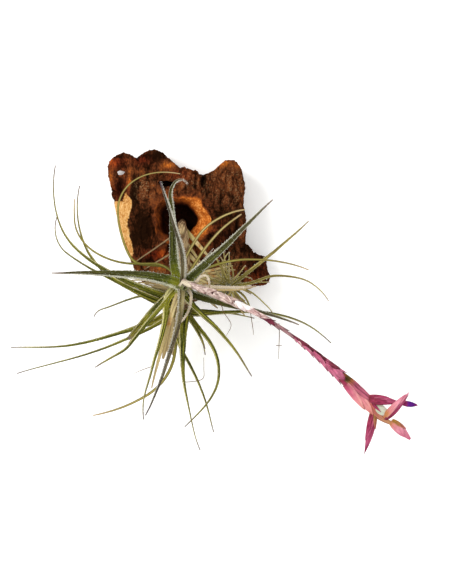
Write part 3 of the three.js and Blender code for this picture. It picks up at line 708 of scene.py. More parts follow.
masks = {
    # Fresh orange cork, and the painted light on the knothole's lit side.
    "broken": np.clip(np.maximum(spotted(BROKEN_SPOTS, x, y), funnel_cork_and_light), 0, 1),
    "ruddy": spotted(RUDDY_SPOTS, x, y),
    "bare": np.clip(bare, 0, 1),
    # Painted shade deep in the knothole: darkest at its floor, and a little uneven round it.
    "hollow": np.where(in_hole, 1 - smooth(depth_with_upper_shade, 24, 37), 0) * (0.84 + 0.12 * np.cos(turn - 0.4)),
    # Soot, and painted shade in the split, the crevice and the ledge's step.
    "sooty": spotted(SOOT_AND_SHADE_SPOTS, x, y) * ~in_hole,
    "flecked": spotted(FLECKED_SPOTS, x, y) * ~in_hole,
    # Painted shade in the furrows of the face.
    "groove": furrow(x, y) * ~in_hole * ~on_back,
    "rough": np.where(in_hole, 0.12, 0.12 + 0.88 * smooth(rim_reach, 1, 1.18))
    * ~on_back * (1 - 0.7 * np.clip(bare, 0, 1)),
}
for label, values in masks.items():
    print(f"{label}: strongest {values.max():.2f}, mean {values.mean():.2f}")

# %% The bark as one closed mesh
def ring_mesh(name, rings):
    """A closed mesh over rings that start and end in a small one, each filled by its own face."""
    count, around = rings.shape[:2]
    low = np.arange((count - 1) * around).reshape(count - 1, around)
    beside = np.roll(low, -1, axis=1)
    quads = np.stack([low, beside, beside + around, low + around], 2).reshape(-1, 4)
    first, last = list(range(around))[::-1], list(range((count - 1) * around, count * around))
    mesh = bpy.data.meshes.new(name)
    mesh.from_pydata((rings.reshape(-1, 3) * MM).tolist(), [], [*quads.tolist(), first, last])
    return mesh


bark_mesh = ring_mesh("bark", rings)
numbered(bark_mesh, **masks)
print("bark mesh:", len(bark_mesh.polygons), "faces")

# %% [markdown]
# ## The bark's relief
# Cork cracks into plates that are long along the grain, and its broken surface is crumbly. Voronoi
# cells give the plates: the distance to a cell's edge is small in a crack. The cells are stretched
# along the grain and warped, so that they don't look drawn with a ruler. Noise gives the swell of
# the plates and the crumb. The tree moves each point along its normal, and leaves a number for how
# deep in a crack it is, so that the finish can paint shade there.

# %% The relief tree
tree, given = node_tree("cork relief",
                        {"Plate width": "Float", "Plate length": "Float", "Crack depth": "Float",
                         "Swell": "Float", "Crumb size": "Float", "Crumb depth": "Float",
                         "Finish": "Material"})
where = add(tree, "GeometryNodeInputPosition")
rough = add(tree, NUMBER, {"Name": "rough"})
drift = add(tree, NOISE, {"Vector": where, "Scale": 1 / (14 * MM)})
drift_way = add(tree, VECTOR_MINUS, [drift.outputs["Color"], (0.5, 0.5, 0.5)])
drift_by = add(tree, SCALED, {"Vector": drift_way, "Scale": 7 * MM})
warped = add(tree, VECTOR_PLUS, [where, drift_by])
plate = add(tree, "ShaderNodeCombineXYZ",
            [given["Plate width"], given["Plate length"], given["Plate width"]])
cells = add(tree, VECTOR_OVER, [warped, plate])
to_edge = add(tree, "ShaderNodeTexVoronoi", {"Vector": cells, "Scale": 1},
              feature="DISTANCE_TO_EDGE")
crack = add(tree, SMOOTH_RANGE, [to_edge, 0, 0.12, 1, 0])
crack = add(tree, TIMES, [crack, rough])
swelling = add(tree, NOISE, {"Vector": cells, "Scale": 1.3, "Detail": 4})
swollen = add(tree, MINUS, [swelling.outputs[0], 0.5])
swell_lift = add(tree, TIMES, [swollen, given["Swell"]])
crumb_scale = add(tree, OVER, [1, given["Crumb size"]])
crumbs = add(tree, NOISE, {"Vector": where, "Scale": crumb_scale, "Detail": 4, "Roughness": 0.65})
crumbled = add(tree, MINUS, [crumbs.outputs[0], 0.5])
crumb_lift = add(tree, TIMES, [crumbled, given["Crumb depth"]])
cut = add(tree, TIMES, [crack, given["Crack depth"]])
raised = add(tree, PLUS, [swell_lift, crumb_lift])
lift = add(tree, MINUS, [raised, cut])
held = add(tree, TIMES, [lift, rough])
outward = add(tree, SCALED, {"Vector": add(tree, "GeometryNodeInputNormal"), "Scale": held})
carved = add(tree, "GeometryNodeSetPosition", {"Geometry": given["Geometry"], "Offset": outward})
kept = add(tree, "GeometryNodeStoreNamedAttribute",
           {"Geometry": carved, "Name": "crack", "Value": crack})
rounded = add(tree, "GeometryNodeSetShadeSmooth", {"Geometry": kept})
relief_tree = closed(tree, rounded, given)

# %% [markdown]
# ## The finish of cork bark
# Weathered cork is matt, so it has no gloss to speak of. What the eye sees is warmth: from black,
# which is soot on charred cork and painted shade in the cracks and furrows, through red-brown
# plates, to bright orange where the cork is freshly broken and, as painted light, on the knothole's
# lit side. So one ramp holds those colours in order, and everything else only adds to or takes from
# the warmth: patches of a few millimetres, grain along the bark, and the masks. Tan bare wood and
# pale crumbs are laid over it, and last the depth of the knothole is darkened as painted shade.

# %% Cork bark
cork, tree, shader = material("weathered cork bark", Roughness=0.95, Specular_IOR_Level=0)
seen = {key: add(tree, "ShaderNodeAttribute", attribute_name=key).outputs["Fac"]
        for key in ("broken", "ruddy", "bare", "hollow", "sooty", "flecked", "groove", "crack")}
spot = add(tree, "ShaderNodeTexCoord").outputs["Object"]
along_grain = add(tree, "ShaderNodeMapping", {"Vector": spot, "Scale": (1, 0.72, 0.8)})
patches = add(tree, NOISE,
              {"Vector": along_grain, "Scale": 1 / (6 * MM), "Detail": 6, "Roughness": 0.7})
grain = add(tree, NOISE,
            {"Vector": along_grain, "Scale": 1 / (1.5 * MM), "Detail": 3, "Roughness": 0.6})
crumb = add(tree, NOISE, {"Vector": spot, "Scale": 1 / (1.2 * MM), "Detail": 2})
warmth = add(tree, RANGE, [patches, 0.3, 0.7, 0.14, 0.56])
grained = add(tree, TIMES_PLUS, [grain, 0.5, -0.25])
warm = add(tree, PLUS, [warmth, grained])
# Fresh breaks warm the colour, and so does the painted light on the knothole's lit side.
breaks_and_light = add(tree, TIMES_PLUS, [seen["broken"], 0.5, warm])
# Soot darkens the colour, and painted shade darkens the split, the crevice and the ledge's step.
soot = add(tree, TIMES_PLUS, [seen["sooty"], -0.44, breaks_and_light])
# Painted shade: the relief's cracks and the face's furrows are darkened.
crack_shaded = add(tree, TIMES_PLUS, [seen["crack"], -0.16, soot])
groove_shaded = add(tree, TIMES_PLUS, [seen["groove"], -0.14, crack_shaded])
brown_ramp = add(tree, RAMP, [groove_shaded],
                 stops=[(0, "#1C0E06"), (0.17, "#341B0D"), (0.36, "#5A301A"), (0.55, "#7A431F"),
                        (0.72, "#A0561F"), (0.86, "#C4722C"), (1, "#E6A256")])
ruddy_ramp = add(tree, RAMP, [groove_shaded],
                 stops=[(0, "#1C0804"), (0.2, "#3E150B"), (0.42, "#6A230F"), (0.62, "#923714"),
                        (0.82, "#B8541F"), (1, "#DB803A")])
ruddy_share = add(tree, TIMES, [seen["ruddy"], 0.9])
cork_colour = add(tree, MIX, [ruddy_share, brown_ramp, ruddy_ramp])
mottled = add(tree, "ShaderNodeMix", {"Factor": 0.5, "A": grain, "B": patches})
tan_ramp = add(tree, RAMP, [mottled],
               stops=[(0.33, "#6E4020"), (0.44, "#B47A3C"), (0.55, "#D0A264"), (0.68, "#E4C08C")])
tan_share = add(tree, RANGE, [seen["bare"], 0.2, 0.6, 0, 0.95])
with_tan = add(tree, MIX, [tan_share, cork_colour, tan_ramp])
pale = add(tree, RANGE, [crumb, 0.52, 0.66, 0, 0.75])
pale_here = add(tree, TIMES, [pale, seen["flecked"]])
pale_flat = add(tree, RANGE, [seen["crack"], 0, 0.5, 1, 0])
pale_share = add(tree, TIMES, [pale_here, pale_flat])
with_flecks = add(tree, MIX, [pale_share, with_tan, colour("#9C7A54")])
# Painted shade: the depth of the knothole is darkened towards near black.
hole_shaded = add(tree, MIX, [seen["hollow"], with_flecks, colour("#140906")])
tree.links.new(output(hole_shaded), shader.inputs["Base Color"])
bump = add(tree, "ShaderNodeBump", {"Strength": 0.6, "Distance": 0.5 * MM, "Height": grain})
tree.links.new(bump.outputs[0], shader.inputs["Normal"])
print("cork bark's brown ramp has", len(brown_ramp.color_ramp.elements), "colours")

# %% The bark, carved and pierced
def placed(piece, *nodes, slot):
    """Nothing moves here, so every piece rides on the root, in place of the solids it stands for."""
    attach(piece, "root")
    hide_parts(*nodes)


bark = grown("bark", bark_mesh, relief_tree,
             {"Plate width": 6.5 * MM, "Plate length": 20 * MM, "Crack depth": 1.1 * MM,
              "Swell": 4.5 * MM, "Crumb size": 2.2 * MM, "Crumb depth": 2.4 * MM, "Finish": cork})

PIN_POINTS = 32
# The natural eye hole goes right through the ledge, a little aslant, and a crevice cuts into the
# face. Each pin is an uneven oval that leans by its slant, in mm for each mm of height.
for label, (x, y), (a, b), (low, high), slant in (
        ("eye", (-51.8, 43.2), (2.9, 1.8), (-2, 60), (0.065, -0.075)),
        ("crevice", (-12, 31.3), (6.8, 2.6), (20, 60), (0, 0))):
    turn = np.linspace(0, 2 * np.pi, PIN_POINTS, endpoint=False)
    uneven = 1 + 0.1 * np.sin(3 * turn + 1) + 0.06 * np.sin(5 * turn)
    oval = np.stack([x + a * uneven * np.cos(turn), y + b * uneven * np.sin(turn)], 1)
    pin_rings = np.stack([np.column_stack([oval + np.array(slant) * z, np.full(PIN_POINTS, z)])
                          for z in (low, high)])
    pin = linked(label, ring_mesh(label, pin_rings))
    pierce = bark.modifiers.new(label, "BOOLEAN")
    pierce.object = pin
    pierce.operation = "DIFFERENCE"
    pierce.solver = "EXACT"
    applied(bark, pierce)
    bpy.data.objects.remove(pin)
placed(bark, "bark_mount", slot="bark")
print("bark:", len(bark.data.polygons), "faces after piercing")

# %% [markdown]
# ## The old stem and its dry leaves
# The plant's stem has died back to straw, but it still holds the plant in the knothole. The bases
# of its lost leaves wrap it like scales. A scale is a short blade whose channel is closed almost
# into a tube, so the same tree grows it: its rib runs along the outside of the stem, and it is
# rolled round the stem's middle.

# %% Scales that wrap a stem
def plant(name, strands, tree, finish, node, slot, **inputs):
    """Grows a piece from its strands and puts it in its node's place."""
    inputs = {key.replace("_", " "): value for key, value in inputs.items()}
    piece = grown(name, edge_mesh(name, strands), tree, inputs | {"Finish": finish})
    placed(piece, node, slot=slot)


SCALE_STEP = 1.6  # mm between the points of a scale


def wrapped(line, radii, start, length, spin, lift=1.0, cover=(165, 150, 110, 70), flare=0.8,
            thick=0.8, sizes=None, **look):
    """A scale from a share of the line's length on. Its spin says which side its rib is on."""
    reach = np.linalg.norm(np.diff(line, axis=0), axis=1).sum()
    count = max(8, math.ceil(length / SCALE_STEP))
    share = np.linspace(0, 1, count)
    points = []
    half = spread(radii, np.clip(start + share * length / reach, 0, 1)) + lift * (0.3 + share)
    bend = np.radians(spread(cover, share))
    curl = np.maximum(half * spread(sizes or (1, 1), share), 0.35)
    for t, radius in zip(share, curl):
        centre, ahead = at_share(line, min(start + t * length / reach, 1))
        past = max(start + t * length / reach - 1, 0) * reach
        side, top = side_and_top(ahead)
        turn = math.radians(spin)
        out = top * math.cos(turn) - side * math.sin(turn)
        points.append(centre + ahead * past + out * (radius + flare * t**3))
    return {"points": np.array(points), "share": share, "fold": bend, "curl": curl * MM,
            "thick": np.minimum(spread((thick, thick * 0.5), share), curl) * MM,
            "roll": math.radians(spin + 180), "tint": look.get("tint", 0.5),
            "silver": look.get("silver", 0.5), "dry": look.get("dry", 0.9), "lean": 0}


chance = np.random.default_rng(7)
GOLDEN_ANGLE = 137.5
stem_scales = [wrapped(stem_line, STEM_RADII, start, 16 + 8 * chance.random(), i * GOLDEN_ANGLE,
                       lift=0.5, flare=2.6, cover=(80, 62, 44, 24), sizes=(0.95, 1, 0.9, 0.6),
                       thick=0.6, tint=chance.random(), silver=0.3, dry=0.85)
               for i, start in enumerate(np.linspace(0.3, 0.86, 18))]

# %% Dry leaves
DRY_LEAVES = [
    dict(start=(3, -6.5, 46), heading=[-46, -50], rise=[26, 8, 0], length=30, width=4.4,
         taper=0.4),
    dict(start=(2, -14, 52), heading=[-52, -54], rise=[10, 0], length=24, width=3, taper=0.4),
    dict(start=(3, -24, 56), heading=[-40, -52], rise=[8, 0], length=20, width=4.4, taper=0.5),
    dict(start=(3, -30, 58), heading=[-44, -50], rise=[4, 0], length=20, width=3, taper=0.5),
    # A broad leaf that has split lengthwise into strips with frayed ends.
    *[dict(start=(-1 + i, -43, 59 - 0.4 * (i % 2)), heading=[264, 251 + i, 250 + 1.6 * i],
           rise=[-44, -24, -6], length=[70, 79, 75, 81, 74, 80, 70][i], width=4.8, taper=0.45,
           tip=1, fold=(20, 30, 50), tint=0.6 + 0.1 * i, silver=0.9) for i in range(7)],
    dict(start=(4, -43, 58), heading=[270, 262], rise=[-48, -34, -20], length=62, width=5),
]
BROWN_LEAVES = [
    dict(start=(1, -6.5, 46), heading=[216, 214], rise=[14, 2, 0], length=48, width=2),
    dict(start=(2, -20, 55), heading=[214, 208], rise=[-3, -5], length=37, width=2.4),
]
LONG_DRY_LEAF = dict(start=(2, -43, 59), heading=[264, 263, 262, 266, 238, 210, 200, 190],
                     rise=[-46, -30, -12, -6, -4, 0], length=168, width=3.4, taper=0.6, tint=0)
LOOKS = ("width", "taper", "roll", "fold", "silver", "dry", "thick", "tip", "lean", "sheath")


def leaf(row):
    """A blade from a row, a little restless along the way, with a shade of its own."""
    count = 9
    restless = chance.normal(0, 1.6, (2, count))
    share = np.linspace(0, 1, count)
    heading = spread(row.get("heading", [0]), np.linspace(0, 1, 33))
    heading = heading + np.interp(np.linspace(0, 1, 33), share, restless[0] * share)
    rise = spread(row.get("rise", [0]), np.linspace(0, 1, 33))
    rise = rise + np.interp(np.linspace(0, 1, 33), share, restless[1] * share)
    if "route" in row:
        line = flowing(row["route"], 48)
    else:
        line = walked(row["start"], heading, rise, row["length"])
    shade = row.get("tint", chance.random())
    return blade(line, tint=shade, **{key: row[key] for key in LOOKS if key in row})


def thatch(count):
    """Dead leaves that hang from the stem and lie over the bark, under the living ones."""
    rows = []
    for i in range(count):
        heading = -42 + 46 * (i / count) + 10 * chance.random()
        rows.append(dict(start=(4 + 3 * chance.random(), -40 - 8 * chance.random(),
                                54 + 4 * chance.random()),
                         heading=[heading, heading + 34 * (chance.random() - 0.5), heading],
                         rise=[-6, -10 - 4 * chance.random(), 0], length=26 + 20 * chance.random(),
                         width=2.2 + 1.6 * chance.random(), taper=0.6))
    return rows


CORE_SHARE = 0.78  # the scales that wrap the stem make up the rest of its thickness
core_radii = [CORE_SHARE * radius for radius in STEM_RADII]
plant("dry_stem", [round_stem(STEM_ROUTE, core_radii)], stem_tree, dead_stem_and_shade_skin, "old_stem",
      "dry_leaf", Section_points=18, Wrinkle_size=2.5 * MM, Wrinkle_depth=1.6 * MM)
straw = [leaf(row) for row in DRY_LEAVES + thatch(24)]
plant("dry_leaves", straw, blade_tree, dry_skin, "old_stem", "dry_leaf", Section_points=14)
plant("long_dry_leaf", [leaf(LONG_DRY_LEAF)], blade_tree, yellow_skin, "old_stem", "dry_leaf",
      Section_points=14, Ragged_edge=0.5)
plant("stem_sheaths", stem_scales, blade_tree, sheath_skin, "old_stem", "dry_leaf",
      Section_points=20)
plant("brown_leaves", [leaf(row) for row in BROWN_LEAVES], blade_tree, sheath_skin, "old_stem",
      "dry_leaf", Section_points=14)

# %% [markdown]
# ## The leaves of the crown
# The crown grows from its tip, so the youngest leaves are at the top: broad, green at the base and
# silver at the margins. Further down they are longer, greener and more arched, and the ones that
# curl over the bark have begun to yellow. Each row says where on the crown a leaf grows, which way
# it goes and how it droops.

# %% The rows of the leaves
def leaf_row(share, heading, rise, length, width, taper=1.7, **looks):
    """Where on its shoot a leaf grows, its headings and rises, and its length and width in mm."""
    return dict(looks, share=share, heading=heading, rise=rise, length=length, width=width,
                taper=taper)


# Each leaf's silver is pushed to one side of its channel as painted light.
YOUNG_LEAVES = [
    leaf_row(0.93, [157, 164, 170.5, 175, 177, 178, 179, 180.5, 182], [30, 20, 10, 4], 106, 10,
             0.95, silver=0.75, fold=(34, 44, 70), lean=0.5, tint=0.35),
    leaf_row(0.89, [118, 104, 93, 91, 92, 94, 96, 50, -65], [36, 22, 14, 8, 2], 99, 10, 0.95,
             silver=0.75, fold=(36, 50, 80), lean=-0.45, tint=0.15),
    leaf_row(0.86, [79, 86, 96, 106, 108, 107, 108], [48, 40, 30, 22, 16], 97, 5.4, 0.6, roll=30,
             silver=0.8, fold=(60, 70, 80), lean=-1.2, tint=0.9),
    leaf_row(0.9, [43, 42, 43, 45, 43], [36, 26, 16, 8], 105, 9, 1, silver=0.65, fold=(40, 52, 75),
             lean=0.25, tint=0.8),
    leaf_row(0.84, [50], [24, 12], 41, 4, silver=0.7, tint=1.2),
    leaf_row(0.9, [-90, -93, -104, -106, -107, -112, -119], [44, 18, -6, -24], 114, 6, 1,
             silver=0.55, fold=(50, 62, 80), lean=-0.5, tint=1),
    leaf_row(0.72, [-17, -17, -15, -10, -16, -18, -24], [16, 4, -8, -16], 99, 7, 1, silver=0.35,
             lean=0.4, tint=1.2),
]
AGEING_PLACES = (5, 2)  # the rows above that have begun to fade, the later one first
BLEACHED_LEAVES = [
    leaf_row(0.9, [-15, -50, -95, -105, -120, -138, -142], [24, 6, -6], 43, 2.6, 0.8, silver=1),
    dict(route=[(4, -52, 90), (11, -51, 96), (14.6, -48.6, 98.5), (17, -45.8, 99.5),
                (19.7, -44.6, 100), (22, -45.2, 100), (23.6, -48.6, 99.5), (24.1, -54.7, 98)],
         width=2, taper=0.3, silver=1),
    dict(route=[(4, -52, 86), (24, -53.3, 93), (45, -53.9, 91), (61, -53.2, 87)], width=3,
         taper=0.6, silver=1),
]
YELLOWING_LEAVES = [
    leaf_row(0.86, [62, 58, 57, 50, 40, 36], [20, 6, -4], 76, 2.7, 0.5, tint=1.9),
    leaf_row(0.85, [95, 80, 66, 58, 47, 31, 19, 5], [16, 2, 0], 87, 2.7, 0.5, tint=2.2),
    leaf_row(0.82, [108, 128, 176, 176, 118, 109, 102, 90, 64, 38, 16, 0, -10], [10, -6, -8, -4, 0],
             157, 2.4, 0.8, tip=0.5),
    leaf_row(0.84, [112, 136, 182, 177, 163, 147, 124, 94, 91], [10, -4, -4], 127, 1.8, 0.6,
             tint=-0.8),
    leaf_row(0.78, [62, 32, 20, 11, 0, -5, -13, -24], [14, 2, -12], 110, 2.6, 1),
]
GREEN_LEAVES = [
    leaf_row(0.2, [164, 158, 156, 166, 196, 200, 202, 196, 250], [12, 0, -14], 79, 2.6, 1.2,
             sheath=0),
    leaf_row(0.8, [198, 228, 229, 229, 230, 231, 232, 233, 210, 210, 211, 212], [26, 8, -14, -28],
             98, 4.8, 0.9),
    leaf_row(0.76, [196, 226, 230, 231], [20, 6, -14, -24], 60, 5, 0.4, tip=2.6, tint=0.5,
             sheath=0.2, dry=0.97),
    leaf_row(0.8, [180, 238, 271, 259, 255, 252, 256, 253, 255, 268, 276], [24, 6, -12, -26], 117,
             7, silver=1, lean=-0.8, tint=0.15),
    leaf_row(0.7, [-52, -46, -43, -47, -53, -59, -60], [28, 8, -12, -20], 91, 5.4, 1.1, sheath=0.2),
    leaf_row(0.48, [165, 161, 156, 150, 138, 112, 92, 83], [26, 14, 0, -16], 168, 7.4, 2),
    leaf_row(0.3, [168, 160, 152, 137, 113, 95, 78], [22, 8, -8, -22], 148, 6.4, 1.7),
    leaf_row(0.36, [213, 206, 201, 198, 195, 190, 184, 180, 182], [24, 8, -8, -20], 148, 4.6, 1.2),
    leaf_row(0.4, [-88, -90, -91, -87, -80, -79, -77, -68], [24, 6, -12, -24], 124, 12, 2.6,
             fold=(22, 36, 70), silver=0.9, tint=0.9),
    leaf_row(0.25, [213, 211, 204, 201, 198, 195, 196, 198], [14, 0, -14, -24], 151, 4),
    leaf_row(0.1, [166, 160, 152, 152, 154, 149, 142, 106, 72], [12, 0, -12, -22], 142, 5),
    leaf_row(0.08, [-136, -94, -68, -60, -64, -69, -74, -77, -75], [10, -6, -20, -30], 112, 3.8,
             1.2),
    leaf_row(0.15, [-46, -50, -50, -62, -80, -97, -117, -130, -132, -134], [14, 2, -14, -24], 117,
             4, 1.1, sheath=0.4),
    leaf_row(0.25, [-58, -56, -64, -76], [10, -4, -16], 38, 4.6, 0.8, sheath=0.2),
    leaf_row(0.05, [-20, 4, 4, 2, -1, -8, -17, -27, -37, -43], [14, 0, -14, -24], 131, 4, 1.3,
             sheath=0.3),
    leaf_row(0.1, [205, 200, 192], [-14, -22, -20], 66, 4),
    leaf_row(0.05, [160, 152, 140], [-2, 4, 2], 66, 4),
    leaf_row(0.1, [-50, -62, -84], [-14, -24, -20], 44, 4),
    leaf_row(0.05, [-96, -88, -80], [-20, -26, -20], 44, 4),
    leaf_row(0.1, [2, -6, -16], [-8, -14, -16], 60, 4),
]
OFFSET_LEAVES = [
    leaf_row(0.8, [9, 8, 16, 23, 1, -7, -14, -34, -45, -60], [20, 4, -16], 90, 3.4, 1.6),
    leaf_row(0.9, [38, 38, 38, 40, 44], [26, 12, -4], 84, 3.6, 0.8),
    leaf_row(0.9, [112, 116, 122], [40, 14, -4], 30, 2.6, 0.6),
    leaf_row(0.7, [150, 158, 170], [30, 6, -10], 26, 2.2, 0.6),
    leaf_row(0.6, [-10, -30, -62, -80], [10, -4, -14], 30, 2, 0.6),
    leaf_row(0.6, [0, -6, -27, -43, -45, -61], [16, -4, -24], 46, 2),
    leaf_row(0.95, [101, 116], [30, 10], 27, 2.4),
    leaf_row(0.9, [-51, -38], [0, -8], 27, 3.4),
    leaf_row(0.7, [20, 4, -2], [10, 0, -6], 34, 2),
]
print("leaves:", len(YOUNG_LEAVES + YELLOWING_LEAVES + GREEN_LEAVES + OFFSET_LEAVES))


# %% Grow the leaves
def leaves_on(line, rows):
    """Leaves that start on a line, at the share that their row gives."""
    return [leaf({"start": at_share(line, row.get("share", 0))[0]} | row) for row in rows]


def tuft(count, low, high):
    """Short leaves all round the offset, the shortest on the side that faces away from the bark."""
    rows = []
    for i in range(count):
        heading = i * GOLDEN_ANGLE + 50 * chance.random()
        towards_tip = math.sin(math.radians(heading)) < 0
        bend = 130 * (chance.random() - 0.5)
        rows.append(leaf_row(low + (high - low) * chance.random(),
                             [heading, heading + bend, heading + 2 * bend * chance.random()],
                             [26 * chance.random(), 0, -12 * chance.random()],
                             (14 + 20 * chance.random()) * (0.55 if towards_tip else 1),
                             1.6 + 1.2 * chance.random(), silver=0.7,
                             tint=1 + 2.5 * chance.random()))
    return rows


# Green leaves have their silver pushed to one side as painted light, unless their row says
# otherwise.
GREEN_LEAVES = [{"sheath": 0.5, "lean": -0.5, "silver": 0.75} | row for row in GREEN_LEAVES]
young = leaves_on(crown_line, YOUNG_LEAVES)
ageing = [young.pop(place) for place in AGEING_PLACES]
for name, strands, finish in (
        ("young_leaves", young, young_skin), ("ageing_leaves", ageing, ageing_skin)):
    plant(name, strands, blade_tree, finish, "leaf_rosette", "leaf", Section_points=14,
          Ragged_edge=0.5)
for name, line, rows, finish in (
        ("yellowing_leaves", crown_line, YELLOWING_LEAVES, yellow_skin),
        ("green_leaves", crown_line, GREEN_LEAVES, green_skin),
        ("bleached_leaves", crown_line, BLEACHED_LEAVES, bleached_skin),
        ("offset_leaves", offset_line, OFFSET_LEAVES + tuft(30, 0.1, 0.95), offset_skin)):
    plant(name, leaves_on(line, rows), blade_tree, finish, "leaf_rosette", "leaf",
          Section_points=14, Ragged_edge=0.5)

# %% [markdown]
# ## The silver fringe
# What makes this plant silver are scales, tiny shields that stand up from the skin and drink dew.
# They are densest at the margins, where they catch the light as a pale fringe. There are far too
# many to place by hand, so a tree scatters them: it strews points over the blades, most of them
# where the silver coat is thick, and puts a small three-sided spike on each. Real ones are under
# half a millimetre; these are a little larger, so that the fringe shows at this distance.

# %% The tree that strews scales
tree, given = node_tree("silver fringe",
                        {"Scales per square metre": "Float", "Scale length": "Float",
                         "Scale width": "Float", "Seed": "Int", "Finish": "Material"})
coat = {key: add(tree, NUMBER, {"Name": key}) for key in ("across", "lean", "silver")}
# The scales follow the silver band, which is pushed to one side as painted light.
pushed = add(tree, TIMES_PLUS, [coat["lean"], 0.4, coat["across"]])
off_centre = add(tree, UNSIGNED, [pushed])
at_margin = add(tree, RANGE, [off_centre, 0.7, 0.95, 0.015, 1])
coated = add(tree, TIMES, [at_margin, coat["silver"]])
density = add(tree, TIMES, [coated, given["Scales per square metre"]])
strewn = add(tree, "GeometryNodeDistributePointsOnFaces",
             {"Mesh": given["Geometry"], "Density": density, "Seed": given["Seed"]})
scale_shape = add(tree, "GeometryNodeMeshCone",
                  {"Vertices": 3, "Radius Top": 0, "Radius Bottom": given["Scale width"],
                   "Depth": given["Scale length"]})
lean_over = add(tree, "FunctionNodeRandomValue",
                {"Min": (-0.7, -0.7, 0), "Max": (0.7, 0.7, 6), "Seed": 3}, data_type="FLOAT_VECTOR")
size = add(tree, "FunctionNodeRandomValue", {"Min": 0.5, "Max": 1.3, "Seed": 5})
turned = add(tree, "FunctionNodeRotateRotation",
             {"Rotation": strewn.outputs["Rotation"], "Rotate By": lean_over},
             rotation_space="LOCAL")
scales = add(tree, "GeometryNodeInstanceOnPoints",
             {"Points": strewn, "Instance": scale_shape, "Rotation": turned, "Scale": size})
fringe_tree = closed(tree, scales, given)

silver_scales = material("dead silver leaf scales", Base_Color=colour("#E6E2D4"), Roughness=0.7)[0]

# %% Strew the scales
for name, per_mm2 in (("young_leaves", 3.2), ("ageing_leaves", 3.2), ("green_leaves", 0.7),
                      ("offset_leaves", 1.3), ("bleached_leaves", 2)):
    leaves = bpy.data.objects[name]
    fringe = grown(name.replace("leaves", "fringe"), leaves.data.copy(), fringe_tree,
                   {"Scales per square metre": per_mm2 / MM**2, "Scale length": 0.9 * MM,
                    "Scale width": 0.14 * MM, "Seed": 11, "Finish": silver_scales})
    placed(fringe, "leaf_rosette", slot="leaf")

# %% [markdown]
# ## The crown and its sheaths
# Where a leaf leaves the crown it wraps it, and the sheaths overlap in a spiral, one golden angle
# after the other. They hide the soft core. Only a few millimetres of each show, but without them
# the leaves would look stuck on.

# %% Crown, runner and sheaths
crown_cores = [round_stem(FOOT_ROUTE, FOOT_RADII), round_stem(CROWN_ROUTE, CROWN_RADII),
               round_stem(RUNNER_ROUTE, RUNNER_RADII, 40),
               round_stem(OFFSET_ROUTE, OFFSET_RADII, 40)]
# Painted shade: the crown's core is given the dead stem's dark brown, so that the gaps between the
# leaves look dark.
plant("crown", crown_cores, stem_tree, dead_stem_and_shade_skin, "leaf_rosette", "leaf", Section_points=18,
      Wrinkle_size=3 * MM, Wrinkle_depth=1 * MM)
crown_sheaths = [wrapped(crown_line, CROWN_RADII, start, 15, i * GOLDEN_ANGLE, lift=1, flare=4,
                         cover=(120, 100, 70, 40), sizes=(1, 1.2, 1, 0.5),
                         tint=chance.random() * 0.4, silver=0.5, dry=2)
                 for i, start in enumerate(np.linspace(0.5, 0.84, 9))]
for sheath in crown_sheaths:
    sheath["share"] = 0.02 + sheath["share"] * 0.16
crown_sheaths += [wrapped(offset_line, OFFSET_RADII, start, 9, i * GOLDEN_ANGLE, lift=0.6, flare=2,
                          cover=(120, 100, 70, 40), tint=chance.random(), silver=0.7, dry=2)
                  for i, start in enumerate(np.linspace(0.02, 0.7, 6))]
plant("leaf_sheaths", crown_sheaths, blade_tree, young_skin, "leaf_rosette", "leaf",
      Section_points=16)

# %% [markdown]
# ## The flower stalk
# The stalk leans out over the leaves. Its bracts wrap it tightly and overlap, silver-pink near the
# crown and rose towards the flowers, and the tip of each stands a little clear. They are the same
# wrapped scales as on the old stem, only finer, so the stalk's colour comes from where along it a
# bract grows.

# %% Bract skins
silver_rose_skin = skin("silver-pink bract under scales",
                        [(0, "#94706A"), (0.5, "#A98680"), (0.85, "#9A6B62"), (1, "#5A2628")],
                        "#E2D4C8", "#D4C4B8", "#5A2628", rim="#6A3A3C", rim_share=0.8,
                        rim_from=0.82, roughness=0.75, coat=0.95, vein=0.35, scurf=2,
                        stripe="#DCCCC0", striped=0.7)
papery_skin = skin("white papery bract", [(0, "#CDBDB4"), (0.5, "#EDE6E2"), (1, "#B98A86")],
                   "#F6F3F0", "#F2EEEA", "#8A4A4C", roughness=0.8, coat=0.8, vein=0.1, scurf=2,
                   stripe="#F6F3F0", striped=0.8)
dusty_skin = skin("dusty rose bract",
                  [(0, "#5E2A33"), (0.3, "#7C4C52"), (0.7, "#94686A"), (1, "#55242E")], "#C4A4A2",
                  "#A88486", "#4E1E2C", roughness=0.6, coat=0.4, vein=0.4, stripe="#AE8886",
                  striped=0.6)
rose_skin = skin("rose bract",
                 [(0, "#A2405F"), (0.35, "#B04E6C"), (0.7, "#BE6580"), (1, "#8A3050")], "#E3A8B6",
                 "#CC829A", "#6A2E40", roughness=0.5, coat=0.3, vein=0.3, scurf=1.2)
dark_rose_skin = skin("dark rose bract",
                      [(0, "#4A1722"), (0.3, "#5E2232"), (0.7, "#742F3E"), (1, "#4A1622")],
                      "#9A5560", "#80444F", "#4E1E2C", roughness=0.5, coat=0.2, vein=0.35)
coral_skin = skin("coral bract",
                  [(0, "#9E6E6C"), (0.35, "#BE9690"), (0.7, "#A86E6A"), (1, "#6E2830")], "#EADAD4",
                  "#D8BEB8", "#6E2830", rim="#8A4446", rim_share=0.6, rim_from=0.8, roughness=0.6,
                  coat=0.7, vein=0.3, scurf=2, stripe="#F0E0D8", striped=0.7)

